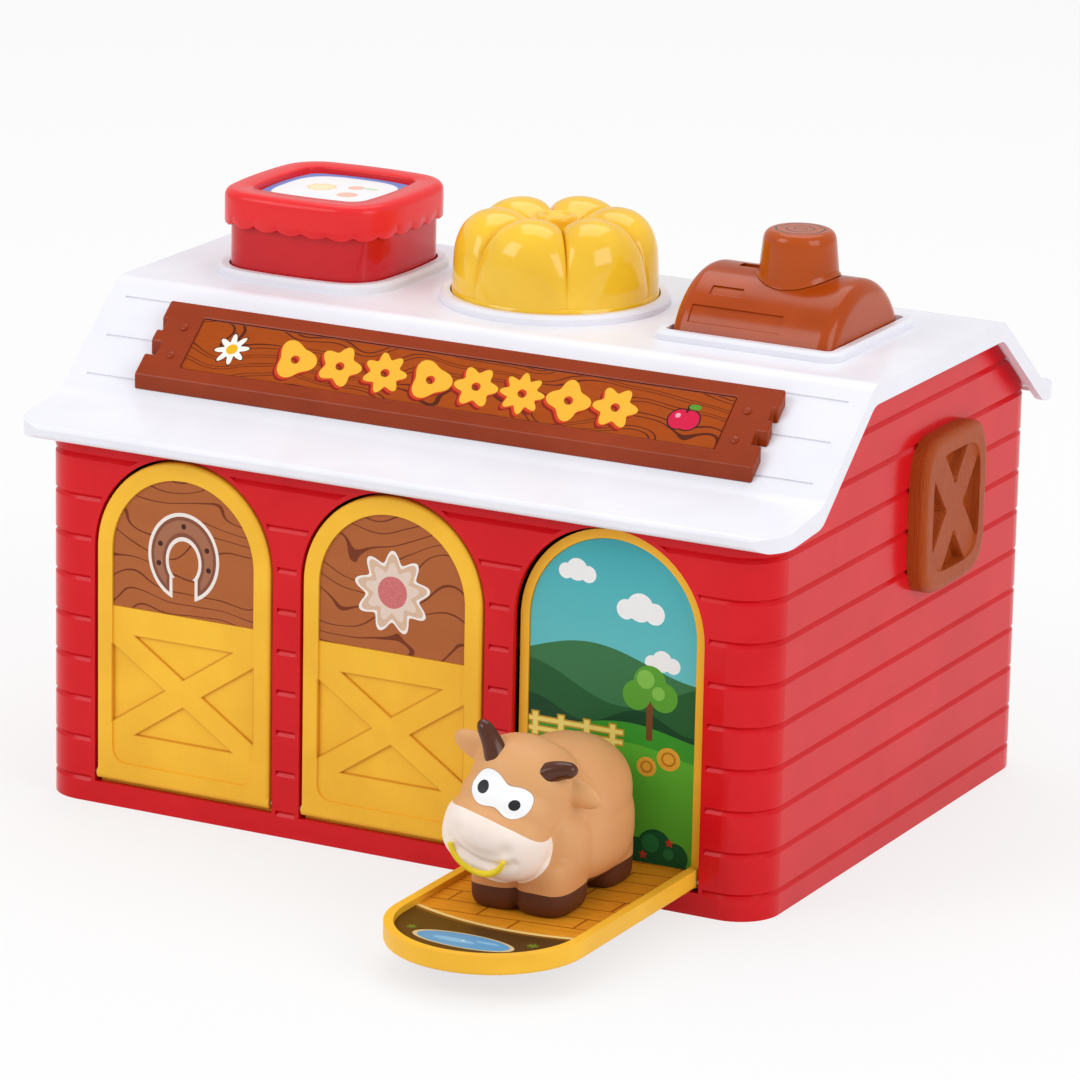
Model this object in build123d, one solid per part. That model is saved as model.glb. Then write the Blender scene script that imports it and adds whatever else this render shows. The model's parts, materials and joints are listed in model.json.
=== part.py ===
from build123d import *
from math import atan, cos, degrees, radians, sin, sqrt, tan
import os

# Farm activity toy: a red barn with three drop-down arched doors, and three controls on its white roof.
# Millimetres. +Z is up, +X is the right side seen from the front, and the front faces -Y.
# The origin is the centre of the base, on the surface that the toy stands on.

# Barn walls
body_width = 260.0
body_depth = 200.0
body_corner = 14.0
wall = 2.4
seat_gap = 0.2
plank_pitch = 13.45
lowest_groove = 8.1
groove_width = 2.0
groove_depth = 1.0
plank_border = 1.5
post_top = 112.0

# Base plate
base_thickness = 2.6
base_rim_height = 7.0
base_rim_wall = 1.8
rib_height = 2.4
rib_thickness = 1.6
rib_places = (-40.0, 10.0, 60.0)

# Roof
roof_top = 160.0
roof_wall = 2.6
roof_side_overhang = 6.5
roof_end_overhang = 6.0
roof_corner = 10.0
flat_depth = 98.0
front_slope = 40.5
front_slope_run = 36.0
front_lip_run = 29.0
back_slope = 38.5
back_slope_share = 5 / 7
lip_slope = 8.5
rim_drop = 6.6
lip_drop = 4.6
crease_radius = 7.0
foot_radius = 9.0
edge_round = 1.6
collar_chamfer = 1.1
log_bed_corner = 2.0
shingle_line_width = 0.9
shingle_line_depth = 0.5
shingle_rows = 3

# Doors: heights are from the lower edge of a closed door
side_post = 22.0
door_post = 12.0
door_height = 109.7
door_gap = 1.0
sill_gap = 1.2
door_low = 8.5
door_proud = 0.5
door_thickness = 6.2
door_edge_round = 1.2
barrel_radius = 2.0
outer_rim = 5.8
outer_rim_step = 0.6
print_depth = 1.0
brace_depth = 1.3
print_low = 59.0
board_low = 6.5
board_corner = 5.0
brace_centre = 33.3
brace_half_height = 16.6
brace_arm = 8.2
brace_gap = 4.6
tray_rim = 3.0
tray_depth = 2.3
backdrop_drop = 1.5
backdrop_thickness = 3.0
backdrop_step = 0.8
backdrop_start = 1.2
label_thickness = 0.3
label_gap = 0.2

# Figures: each place is sideways, out from the hinge line, and up from the tray
bull_body_place = (0.0, 29.0, 27.5)
bull_body_size = (39.0, 49.0, 43.0)
bull_body_round = 16.0
bull_feet_out = (17.5, 53.5)
bull_foot_spread = 8.0
bull_foot_radius = 7.6
bull_leg_height = 18.0
bull_head_place = (-3.0, 50.5, 37.0)
bull_head_size = (36.0, 28.0, 31.0)
bull_head_round = 13.0
bull_head_tilt = 14.0
bull_muzzle_place = (0.0, -11.0, -13.0)
bull_muzzle_size = (35.0, 22.0, 21.0)
bull_muzzle_round = 9.5
bull_horn_root = (9.5, -1.0, 12.0)
bull_horn_tip = (15.5, -2.0, 21.0)
bull_horn_radii = (4.2, 2.2)
bull_ear_place = (20.0, 2.0, 7.0)
ear_size = (14.0, 6.0, 9.0)
ear_round = 2.7
horse_body_place = (0.0, 27.5, 29.0)
horse_body_size = (32.0, 46.0, 29.0)
horse_body_round = 13.0
horse_feet_out = (14.5, 41.5)
horse_foot_spread = 8.5
horse_leg_height = 24.0
horse_neck_place = (0.0, 46.5, 42.0)
horse_neck_size = (20.0, 20.0, 36.0)
horse_neck_round = 8.0
horse_neck_lean = 28.0
horse_head_place = (0.0, 58.5, 53.0)
horse_head_size = (22.0, 26.0, 22.0)
horse_head_round = 9.0
horse_nose_place = (0.0, 67.5, 46.0)
horse_nose_size = (20.0, 16.0, 15.0)
horse_nose_round = 6.5
horse_ear_root = (7.0, 53.5, 60.0)
horse_ear_tip = (8.0, 52.5, 70.0)
horse_ear_radii = (3.4, 1.2)
sheep_body_place = (0.0, 27.5, 29.0)
sheep_body_size = (40.0, 48.0, 38.0)
sheep_body_round = 16.0
sheep_feet_out = (14.5, 41.5)
sheep_foot_spread = 9.0
sheep_leg_height = 20.0
sheep_head_place = (0.0, 53.5, 43.0)
sheep_head_size = (28.0, 26.0, 27.0)
sheep_head_round = 12.0
sheep_fringe_place = (0.0, 49.5, 54.0)
sheep_fringe_size = (30.0, 24.0, 16.0)
sheep_fringe_round = 7.0
sheep_ear_place = (17.0, 51.5, 46.0)
small_foot_radius = 6.4
foot_round = 1.2

# Hinge and latch rods
rod_radius = 0.9
latch_rod_radius = 1.25
running_gap = 0.05
lug_depth = 4.5
lug_rise = 4.5
end_lug_width = 5.4
rod_end = 0.8
lug_mouth = 1.5
spring_notch = 12.0
spring_notch_radius = 1.5
spring_gap = 0.1
door_coil_wire = 0.2
door_coil_turns = 8

# Controls on the roof
control_side_gap = 47.5
collar_height = 3.0
collar_width = 3.4
control_gap = 0.6
below_roof = 5.0

jar_half_x = 29.0
jar_half_y = 29.5
jar_side_bulge = 2.6
jar_corner = 13.0
jar_wall = 2.0
jar_body_height = 22.0
jar_lid_top = 27.4
jar_lid_overhang = 2.2
jar_lid_skirt = 10.0
jar_lid_round = 3.0
jar_scallop = 2.2
scallops_per_side = 5
jar_recess_inset = 7.5
jar_recess_depth = 1.6
jar_travel = 6.0
jar_wedge_width = 6.0
jar_wedge_land = 8.0
jar_wedge_taper = 8.0

pumpkin_radius = 33.6
pumpkin_lobe_radius = 19.0
pumpkin_lobes = 6
pumpkin_lobe_turn = 4.0
pumpkin_top = 30.0
pumpkin_lobe_round = 17.0
pumpkin_foot = 4.6
pumpkin_cavity_radius = 27.0
pumpkin_roof = 9.0
pumpkin_hub_top = 25.0
pumpkin_dish_radii = (7.6, 14.0)
stalk_radius = 6.6
stalk_height = 3.2
stalk_round = 1.2
stalk_dimple = 3.6
stalk_dimple_depth = 0.8
socket_wall = 3.0
socket_rise = 4.0
socket_cap = 2.0
pumpkin_turn = 35.0

log_length = 57.0
log_half_width = 27.3
log_crest = 20.0
log_end_round = 5.0
log_wall = 2.2
mark_depth = 0.5
log_marks = ((6.0, 38.0, 5.5, 10.5), (10.0, 21.0, 13.6, 15.8))
stem_thickness = 3.6
stump_x = 4.3
stump_base_radius = 13.5
stump_top_radius = 11.4
stump_top = 34.0
stump_round = 2.6
stump_skirt = 6.0
stump_saddle_gap = 0.3
stump_travel = 16.0
stem_side = 8.0
stem_gap = 0.3
shoe_half_x = 13.0
shoe_half_y = 10.0
shoe_roof_gap = 4.0
finger_overlap = 1.0

# Mechanism under the roof
deck_top = 138.5
deck_thickness = 2.5
deck_side_gap = 9.0
deck_before = 32.5
deck_behind = 33.5
boss_radius = 3.4
boss_spread = 27.0
post_wall = 1.0
screw_radius = 1.1
screw_head_radius = 2.4
screw_head_height = 1.8
screw_length = 9.0
screw_slot = (2.8, 0.6, 0.7)
shaft_radius = 4.0
guide_length = 6.0
guide_wall = 1.5
clip_wall = 1.8
clip_thickness = 1.2
clip_mouth = 3.0
ear_thickness = 3.0
latch_pivot_drop = 8.0
latch_width = 8.0
latch_thickness = 4.0
latch_eye_radius = 3.6
latch_gap = 0.3
latch_clearance = 0.6
toe_height = 4.0
toe_brace = 6.0
toe_reach = 4.906
nub_radius = 2.0
nub_top = 102.0
nub_height = 6.0
push = 1.5
cam_start = 70.0
cam_land = 3.0
wedge_lead = 3.0
jar_coil_wire = 0.5
jar_coil_gap = 2.0
jar_coil_turns = 7

# Sign and windows
sign_side_gap = 19.4
sign_foot_gap = 3.5
sign_run = 23.0
sign_thickness = 5.1
sign_border = 5.0
sign_end_border = 15.0
sign_recess = 0.8
sign_notches = ((-5.0, -1.0, 4.0), (2.5, 6.0, 2.0))
window_width = 56.0
window_height = 47.0
window_shift = 13.0
window_bottom = 84.5
window_thickness = 6.0
window_rise = 8.5
window_low_round = 8.0
window_high_round = 9.0
window_edge_round = 1.6
window_frame = 6.5
window_step = 1.5
window_brace_inset = 2.0
window_brace_drop = 1.0
window_brace_arm = 7.5
window_brace_gap = 5.0
window_brace_depth = 1.6

# Places that follow from the sizes above
half_width = body_width / 2
half_depth = body_depth / 2
roof_edge = half_depth + roof_end_overhang
front_foot = front_lip_run - roof_edge
flat_front = front_foot + front_slope_run
flat_back = flat_front + flat_depth
back_slope_run = (roof_edge - flat_back) * back_slope_share
back_foot = flat_back + back_slope_run
door_width = (body_width - 2 * side_post - 2 * door_post) / 3
door_pitch = door_width + door_post
door_half = door_width / 2
door_centres = (-door_pitch, 0.0, door_pitch)
hinge_y = barrel_radius - half_depth - door_proud
hinge_z = door_low + barrel_radius
door_front = hinge_y - barrel_radius
door_back = door_front + door_thickness
door_rise = door_height - barrel_radius
arch_line = door_rise - door_half
tray_floor = door_back - tray_depth
backdrop_top = hinge_z - backdrop_drop
backdrop_low = backdrop_top - backdrop_thickness
backdrop_floor = backdrop_top - backdrop_step
flap_reach = sqrt(door_rise ** 2 + (hinge_z - backdrop_low) ** 2)
post_offset = (body_corner - wall - boss_radius) / sqrt(2)
post_x = half_width - body_corner + post_offset
post_y = half_depth - body_corner + post_offset
post_places = [(x * post_x, y * post_y) for x in (-1, 1) for y in (-1, 1)]
lug_half = door_pitch / 2 - door_half - door_gap
end_lug = door_pitch + door_half + door_gap
lug_spans = [(-end_lug - end_lug_width, -end_lug), (-door_pitch / 2 - lug_half, -door_pitch / 2 + lug_half),
             (door_pitch / 2 - lug_half, door_pitch / 2 + lug_half), (end_lug, end_lug + end_lug_width)]
hinge_rod_end = end_lug + end_lug_width - rod_end
control_pitch = half_width - control_side_gap
jar_x = -control_pitch
log_x = control_pitch
control_centres = (jar_x, 0.0, log_x)
deck_bottom = deck_top - deck_thickness
deck_half_x = half_width - deck_side_gap
latch_pivot_height = deck_bottom - latch_pivot_drop
toe_front = hinge_y + flap_reach + latch_clearance
latch_y = toe_front + toe_reach
nub_front = latch_y - latch_thickness / 2 - nub_radius
post_back = nub_front - latch_gap
control_y = post_back - shaft_radius
deck_front = control_y - deck_before
deck_back = control_y + deck_behind
window_y = control_y + window_shift
sign_half_length = half_width - sign_side_gap
sign_front = front_foot + sign_foot_gap
boss_inner_x = (control_pitch - jar_half_x + pumpkin_radius) / 2
boss_outer_x = deck_half_x - boss_radius
boss_places = [(side * x, control_y + shift) for x in (boss_inner_x, boss_outer_x) for side in (-1, 1)
               for shift in (-boss_spread, boss_spread)]
log_radius = (log_half_width ** 2 + log_crest ** 2) / (2 * log_crest)
log_axis_z = roof_top + log_crest - log_radius
latch_turn = degrees(atan(push / (latch_pivot_height - nub_top)))
cam_offset = push / (cos(radians(cam_start - pumpkin_turn)) - cos(radians(cam_start)))
cam_radius = shaft_radius - cam_offset * cos(radians(cam_start))
stump_place = log_x + stump_x
carriage_top = roof_top - roof_wall - shoe_roof_gap
latch_rod_end = log_x + latch_width / 2 + latch_gap + ear_thickness + rod_end


def block(x0, x1, y0, y1, z0, z1):
    """A box between two corners."""
    return Pos((x0 + x1) / 2, (y0 + y1) / 2, (z0 + z1) / 2) * Box(x1 - x0, y1 - y0, z1 - z0)


def rod_x(x0, x1, y, z, radius):
    """A round bar along X."""
    return Pos((x0 + x1) / 2, y, z) * Rot(0, 90, 0) * Cylinder(radius, x1 - x0)


def rod_z(x, y, z0, z1, radius):
    """A round bar along Z."""
    return Pos(x, y, (z0 + z1) / 2) * Cylinder(radius, z1 - z0)


def across(face, x0, x1):
    """A prism along X from an outline drawn in Y and Z."""
    return extrude(Plane((x0, 0, 0), x_dir=(0, 1, 0), z_dir=(1, 0, 0)) * face, x1 - x0)


def facing(face, y0, y1):
    """A prism along Y, from y0 back to y1, from an outline drawn in X and Z."""
    return extrude(Plane((0, y1, 0), x_dir=(1, 0, 0), z_dir=(0, -1, 0)) * face, y1 - y0)


def upright(face, z0, z1):
    """A prism along Z from a plan outline."""
    return extrude(Pos(0, 0, z0) * face, z1 - z0)


def joined(shapes):
    """One shape from several."""
    whole, *others = shapes
    for shape in others:
        whole += shape
    return whole


def save(node, shape):
    """Write one node."""
    export_step(shape, "parts/" + node + ".step")


def plan(inset=0.0):
    """The barn's plan outline, drawn in by inset."""
    return RectangleRounded(body_width - 2 * inset, body_depth - 2 * inset, body_corner - inset)


def roof_plan(inset=0.0):
    """The roof's plan outline, drawn in by inset."""
    width = body_width + 2 * (roof_side_overhang - inset)
    depth = 2 * (roof_edge - inset)
    return RectangleRounded(width, depth, roof_corner - inset)


def roof_points(drop=0.0, lip_extra=0.0):
    """The roof's line from the front lip to the back lip, lowered by drop, and the lips by lip_extra less."""
    front_foot_z = roof_top - front_slope_run * tan(radians(front_slope))
    back_foot_z = roof_top - back_slope_run * tan(radians(back_slope))
    front_lip_z = front_foot_z - front_lip_run * tan(radians(lip_slope))
    back_lip_z = back_foot_z - (roof_edge - back_foot) * tan(radians(lip_slope))
    points = [(-roof_edge, front_lip_z + lip_extra), (front_foot, front_foot_z), (flat_front, roof_top),
              (flat_back, roof_top), (back_foot, back_foot_z), (roof_edge, back_lip_z + lip_extra)]
    return [(y, z - drop) for y, z in points]


def roof_section(upper, lower, radii):
    """A closed outline between two roof lines, with the upper line's creases rounded."""
    crease, foot = radii
    corners = upper + lower[::-1]
    rounding = [edge_round, foot, crease, crease, foot, edge_round,
                edge_round, foot, crease, crease, foot, edge_round]
    outline = FilletPolyline(*corners, radius=rounding, close=True)
    return make_face(outline)


def under_roof(drop):
    """Everything below the roof line lowered by drop, wider than the barn."""
    line = roof_points(drop)
    corners = line + [(line[-1][0], -1.0), (line[0][0], -1.0)]
    rounding = [0.1, foot_radius + drop, crease_radius - drop, crease_radius - drop, foot_radius + drop,
                0.1, 0.1, 0.1]
    face = make_face(FilletPolyline(*corners, radius=rounding, close=True))
    return across(face, -half_width - roof_side_overhang, half_width + roof_side_overhang)


def arch(half, bottom, top_centre):
    """An arch outline: straight sides up to top_centre, then a half round."""
    legs = Polyline((-half, top_centre), (-half, bottom), (half, bottom), (half, top_centre))
    return make_face(legs + CenterArc((0, top_centre), half, 0, 180))


def pillow(grow=0.0):
    """The jar's plan outline: a square with bowed sides and round corners, grown by grow."""
    x, y = jar_half_x - jar_side_bulge + grow, jar_half_y - jar_side_bulge + grow
    bow = jar_side_bulge
    sides = (ThreePointArc((-x, -y), (0, -y - bow), (x, -y)) + ThreePointArc((x, -y), (x + bow, 0), (x, y))
             + ThreePointArc((x, y), (0, y + bow), (-x, y)) + ThreePointArc((-x, y), (-x - bow, 0), (-x, -y)))
    face = make_face(sides)
    return fillet(face.vertices(), jar_corner + grow)


def log_outline(shrink=0.0, bottom=roof_top):
    """The log's half-round end outline in Y and Z."""
    disc = Pos(control_y, log_axis_z) * Circle(log_radius - shrink)
    keep = Pos(control_y, bottom + log_radius) * Rectangle(2 * log_radius, 2 * log_radius)
    return disc & keep


# Barn

def groove_ring(z):
    """One plank joint all round the walls: a shallow groove that is steep above and sloping below."""
    upper = groove_width * 0.35
    lower = groove_width - upper
    deep = plan(groove_depth)
    above = extrude(Pos(0, 0, z) * deep, upper, taper=-degrees(atan(groove_depth / upper)))
    below = extrude(Pos(0, 0, z) * deep, -lower, taper=-degrees(atan(groove_depth / lower)))
    band = upright(RectangleRounded(body_width + 4, body_depth + 4, body_corner + 2), z - lower, z + upper)
    return band - (above + below)


def make_barn_shell():
    """The red walls: planks all round, three arched doorways, hinge lugs and a screw post in each corner."""
    walls = upright(plan(), 0, roof_top) - upright(plan(wall), -1, roof_top + 1)
    pilot_top = base_thickness + screw_length
    for x, y in post_places:
        walls += rod_z(x, y, base_thickness, post_top, boss_radius + post_wall)
        walls -= rod_z(x, y, base_thickness, pilot_top, screw_radius)
    lug_low = base_rim_height + seat_gap
    for x0, x1 in lug_spans:
        walls += block(x0, x1, -half_depth + wall / 2, hinge_y + lug_depth, lug_low, hinge_z + lug_rise)
    rows = int((roof_top - rim_drop - lowest_groove) / plank_pitch) + 1
    borders = joined(door_hole(x, plank_border, -half_depth - 1) for x in door_centres)
    for row in range(rows):
        walls -= groove_ring(lowest_groove + row * plank_pitch) - borders
    for x in door_centres:
        walls -= door_hole(x, 0.0, door_low - sill_gap)
    walls -= rod_x(-hinge_rod_end, hinge_rod_end, hinge_y, hinge_z, rod_radius)
    walls -= block(-hinge_rod_end, hinge_rod_end, hinge_y, hinge_y + lug_depth + 1,
                   hinge_z - lug_mouth / 2, hinge_z + lug_mouth / 2)
    return walls & under_roof(roof_wall)


def door_hole(x, grow, low):
    """A doorway's arched prism through the front wall, grown by grow, from the height low upwards."""
    outline = arch(door_half + door_gap + grow, low, hinge_z + arch_line)
    return Pos(x, 0, 0) * facing(outline, -half_depth - groove_width, -half_depth + wall + 0.1)


def make_base_plate():
    """The floor moulding: plate, upright rim, ribs and countersunk screw holes."""
    inset = wall + seat_gap
    rim_inset = inset + base_rim_wall
    plate = upright(plan(inset), 0, base_thickness)
    rim = upright(plan(inset), base_thickness, base_rim_height) \
        - upright(plan(rim_inset), base_thickness, base_rim_height)
    for x in door_centres:
        gap = door_half + door_gap
        rim -= block(x - gap, x + gap, -half_depth, -half_depth + rim_inset + 1, base_thickness,
                     base_rim_height + 1)
    ribs = joined(block(-half_width + rim_inset, half_width - rim_inset, y - rib_thickness / 2,
                        y + rib_thickness / 2, base_thickness, base_thickness + rib_height)
                  for y in rib_places)
    base = plate + rim + ribs
    for x, y in post_places:
        base -= rod_z(x, y, -1, base_rim_height + 1, screw_radius)
        base -= rod_z(x, y, -1, screw_head_height, screw_head_radius)
        base -= rod_z(x, y, base_thickness, base_rim_height + 1, boss_radius + post_wall + seat_gap)
    return base


def screw():
    """A pan-head screw standing on its head, with a cross recess."""
    shape = rod_z(0, 0, 0, screw_head_height, screw_head_radius) \
        + rod_z(0, 0, screw_head_height, screw_length, screw_radius)
    length, width, depth = screw_slot
    for turn in (0, 90):
        shape -= Rot(0, 0, turn) * block(-length / 2, length / 2, -width / 2, width / 2, 0, depth)
    return shape


# Roof

def make_roof_shell():
    """The white roof: one bent sheet with a rim, raised collars, screw bosses and plank lines."""
    outer = across(roof_section(roof_points(), roof_points(rim_drop, rim_drop - lip_drop),
                                (crease_radius, foot_radius)),
                   -half_width - roof_side_overhang, half_width + roof_side_overhang)
    roof = outer & upright(roof_plan(), 0, roof_top)
    cavity = under_roof(roof_wall) & upright(roof_plan(roof_wall), 0, roof_top)
    roof -= cavity
    roof -= shingle_lines()
    collar_top = roof_top + collar_height
    jar_hole = Pos(jar_x, control_y) * pillow(control_gap)
    jar_collar = Pos(jar_x, control_y) * pillow(control_gap + collar_width)
    round_hole = Pos(0, control_y) * Circle(pumpkin_radius + control_gap)
    round_collar = Pos(0, control_y) * Circle(pumpkin_radius + control_gap + collar_width)
    log_bed = Pos(log_x, control_y) * RectangleRounded(log_length + 2 * control_gap,
                                                       2 * log_half_width + 2 * control_gap,
                                                       log_bed_corner)
    log_collar = Pos(log_x, control_y) * RectangleRounded(
        log_length + 2 * (control_gap + collar_width),
        2 * (log_half_width + control_gap + collar_width), log_bed_corner + collar_width)
    for ring in (jar_collar, round_collar, log_collar):
        raised = upright(ring, roof_top - roof_wall / 2, collar_top)
        roof += chamfer(raised.faces().sort_by(Axis.Z)[-1].edges(), collar_chamfer)
    for x, y in boss_places:
        roof += rod_z(x, y, deck_top, roof_top - roof_wall / 2, boss_radius)
        roof -= rod_z(x, y, deck_top, deck_top + screw_length, screw_radius)
    for hole in (jar_hole, round_hole):
        roof -= upright(hole, roof_top - 2 * roof_wall, collar_top + 1)
    roof -= upright(log_bed, roof_top, collar_top + 1)
    roof -= stem_slot(2.0, roof_top - 2 * roof_wall, roof_top + 1)
    return roof


def stem_slot(grow, z0, z1):
    """The slot that the stump's stem travels in."""
    reach = stem_side / 2 + stem_gap + grow
    half = stem_thickness / 2 + stem_gap + grow
    return block(stump_place - stump_travel - reach, stump_place + reach,
                 control_y - half, control_y + half, z0, z1)


def shingle_lines():
    """Shallow lines along the slopes and the flat, as on boards."""
    depth = shingle_line_depth
    lines = []
    places = [front_foot + front_slope_run * (row + 0.5) / shingle_rows for row in range(shingle_rows)]
    places += [flat_back + back_slope_run * (row + 0.5) / shingle_rows for row in range(shingle_rows)]
    for y in places:
        front = y < flat_front
        slope = front_slope if front else -back_slope
        start = flat_front if front else flat_back
        z = roof_top + (y - start) * tan(radians(slope))
        lines.append(Pos(0, y, z) * Rot(slope, 0, 0) * Box(body_width, shingle_line_width, 2 * depth))
    return joined(lines)


def sign_outline(lift=0.0, grow=0.0):
    """The sign board's end outline: a slab that lies on the front slope, with upright edges."""
    slope = tan(radians(front_slope))
    y0, y1 = sign_front - grow, sign_front + sign_run + grow

    def roof_z(y):
        return roof_top + (y - flat_front) * slope

    top = sign_thickness
    return make_face(Polyline((y0, roof_z(y0) + lift), (y1, roof_z(y1) + lift),
                              (y1, roof_z(y1) + top), (y0, roof_z(y0) + top), close=True))


def make_sign_board():
    """The brown name board without a name: notched ends and a framed recess."""
    board = across(sign_outline(), -sign_half_length, sign_half_length)
    inner = sign_half_length - sign_end_border
    field = across(sign_outline(sign_thickness - sign_recess, -sign_border * cos(radians(front_slope))),
                   -inner, inner)
    board -= field
    middle = sign_front + sign_run / 2
    for x in (-sign_half_length, sign_half_length):
        for low, high, depth in sign_notches:
            board -= block(x - depth, x + depth, middle + low, middle + high, 0, roof_top)
    return board


def make_sign_label():
    """The printed sheet in the sign's recess."""
    gap = label_gap
    inner = sign_half_length - sign_end_border - gap
    low = sign_thickness - sign_recess
    slope = tan(radians(front_slope))
    border = sign_border * cos(radians(front_slope))
    y0, y1 = sign_front + border + gap, sign_front + sign_run - border - gap

    def z(y, lift):
        return roof_top + (y - flat_front) * slope + lift

    face = make_face(Polyline((y0, z(y0, low)), (y1, z(y1, low)), (y1, z(y1, low + label_thickness)),
                              (y0, z(y0, low + label_thickness)), close=True))
    return across(face, -inner, inner)


def window_face(inset=0.0):
    """The shutter's outline: square below and arched above, drawn in by inset."""
    half = window_width / 2 - inset
    low = window_bottom + inset
    high = window_bottom + window_height - inset
    shoulder = high - window_rise
    line = Polyline((-half, shoulder), (-half, low), (half, low), (half, shoulder)) \
        + ThreePointArc((half, shoulder), (0, high), (-half, shoulder))
    face = make_face(line)
    low_corners = face.vertices().group_by(Axis.Y)[0]
    face = fillet(low_corners, window_low_round - inset / 2)
    return fillet(face.vertices().group_by(Axis.Y)[-1], window_high_round - inset / 2)


def brace_triangles(half, centre, half_height, arm, gap):
    """The four hollows between the arms of an X brace, as outlines."""
    top = centre + half_height
    low = centre - half_height
    slope = (half_height - gap) / (half - arm)
    side = half * slope - gap
    tip = gap / slope
    return [
        Polyline((-half + arm, top), (half - arm, top), (0, centre + gap), close=True),
        Polyline((-half + arm, low), (half - arm, low), (0, centre - gap), close=True),
        Polyline((-half, centre + side), (-half, centre - side), (-tip, centre), close=True),
        Polyline((half, centre + side), (half, centre - side), (tip, centre), close=True),
    ]


def make_window(side):
    """A brown shutter on a side wall, with an X brace."""
    face_y = half_width
    slab = facing(window_face(), -face_y - window_thickness, -face_y)
    outer = slab.faces().sort_by(Axis.Y)[0]
    slab = fillet(outer.edges(), window_edge_round)
    front = -face_y - window_thickness
    slab -= facing(window_face(window_frame), front - 1, front + window_step)
    middle = window_bottom + window_height / 2 - window_brace_drop
    half = window_width / 2 - window_frame - window_brace_inset
    half_height = window_height / 2 - window_frame - window_brace_inset
    for outline in brace_triangles(half, middle, half_height, window_brace_arm, window_brace_gap):
        slab -= facing(make_face(outline), front, front + window_step + window_brace_depth)
    return Rot(0, 0, side * 90) * Pos(side * window_y, 0, 0) * slab


# Doors

def door_panel():
    """The arched door, closed: an outer board with an X brace and a sunk place for a print."""
    rise = hinge_z + arch_line
    panel = facing(arch(door_half, hinge_z, rise), door_front, door_back)
    outer_edges = panel.faces().sort_by(Axis.Y)[0].edges().filter_by(
        lambda edge: edge.center().Z > hinge_z + 1)
    panel = fillet(outer_edges, door_edge_round)
    field = arch(door_half - outer_rim, door_low + board_low, rise)
    field = fillet(field.vertices().group_by(Axis.Y)[0], board_corner)
    panel -= facing(field, door_front - 1, door_front + outer_rim_step)
    picture = arch(door_half - outer_rim, door_low + print_low, rise)
    panel -= facing(picture, door_front - 1, door_front + print_depth)
    for outline in brace_triangles(door_half - outer_rim, door_low + brace_centre, brace_half_height,
                                   brace_arm, brace_gap):
        panel -= facing(make_face(outline), door_front - 1, door_front + brace_depth)
    return panel


def make_flap():
    """One yellow door with its tray, its picture wall and its hinge barrel, closed, at x = 0."""
    inner = door_half - tray_rim
    start = hinge_y + backdrop_start
    barrel = rod_x(-door_half, door_half, hinge_y, hinge_z, barrel_radius)
    corner = block(-door_half, door_half, start, door_back, backdrop_low, hinge_z)
    backdrop = upright(arch(door_half, start, hinge_y + arch_line), backdrop_low, backdrop_top)
    flap = door_panel() + barrel + corner + backdrop
    flap -= facing(arch(inner, backdrop_floor, hinge_z + arch_line), tray_floor, door_back + 1)
    flap -= upright(arch(inner, tray_floor, hinge_y + arch_line), backdrop_floor, hinge_z)
    flap -= rod_x(-door_half, door_half, hinge_y, hinge_z, rod_radius + running_gap)
    return flap - rod_x(-spring_notch / 2, spring_notch / 2, hinge_y, hinge_z, spring_notch_radius)


def make_door_label():
    """The print on the outside of a closed door."""
    face = arch(door_half - outer_rim - label_gap, door_low + print_low + label_gap, hinge_z + arch_line)
    back = door_front + print_depth
    return facing(face, back - label_thickness, back)


def make_floor_label():
    """The print on the tray that the figure stands on, with the door closed."""
    face = arch(door_half - tray_rim - label_gap, backdrop_floor + label_thickness + label_gap,
                hinge_z + arch_line)
    return facing(face, tray_floor, tray_floor + label_thickness)


def make_backdrop_label():
    """The print on the picture wall, with the door closed."""
    face = arch(door_half - tray_rim - label_gap, tray_floor + label_thickness + label_gap,
                hinge_y + arch_line)
    return upright(face, backdrop_floor, backdrop_floor + label_thickness)


def turned(shape, angle):
    """Turn a shape about the hinge line."""
    return Pos(0, hinge_y, hinge_z) * Rot(angle, 0, 0) * Pos(0, -hinge_y, -hinge_z) * shape


def on_tray(place, side=1):
    """A point above the open tray, from its sideways, outward and upward distances."""
    across_x, out, up = place
    level = hinge_z + tray_floor - hinge_y + label_thickness
    return side * across_x, hinge_y - out, level + up


def pebble(place, size, rounding):
    """A block with every edge rounded, about its centre."""
    return Pos(*place) * fillet(Box(*size).edges(), rounding)


def horn(start, end, radii):
    """A tapered round horn between two points, with a round tip."""
    radius_start, radius_end = radii
    axis = Vector(*end) - Vector(*start)
    plane = Plane(origin=start, z_dir=axis)
    cone = Pos(0, 0, axis.length / 2) * Cone(radius_start, radius_end, axis.length)
    return plane.location * (cone + Pos(0, 0, axis.length) * Sphere(radius_end))


def mirrored(place, side):
    """A place in a head's own frame, on one side of it."""
    return side * place[0], place[1], place[2]


def legs(spread, outs, radius, height):
    """Four round legs, with the tread edge eased."""
    group = []
    for side in (-1, 1):
        for out in outs:
            x, y, level = on_tray((spread, out, 0.0), side)
            leg = rod_z(x, y, level, level + height, radius)
            group.append(fillet(leg.faces().sort_by(Axis.Z)[0].edges(), foot_round))
    return joined(group)


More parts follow.
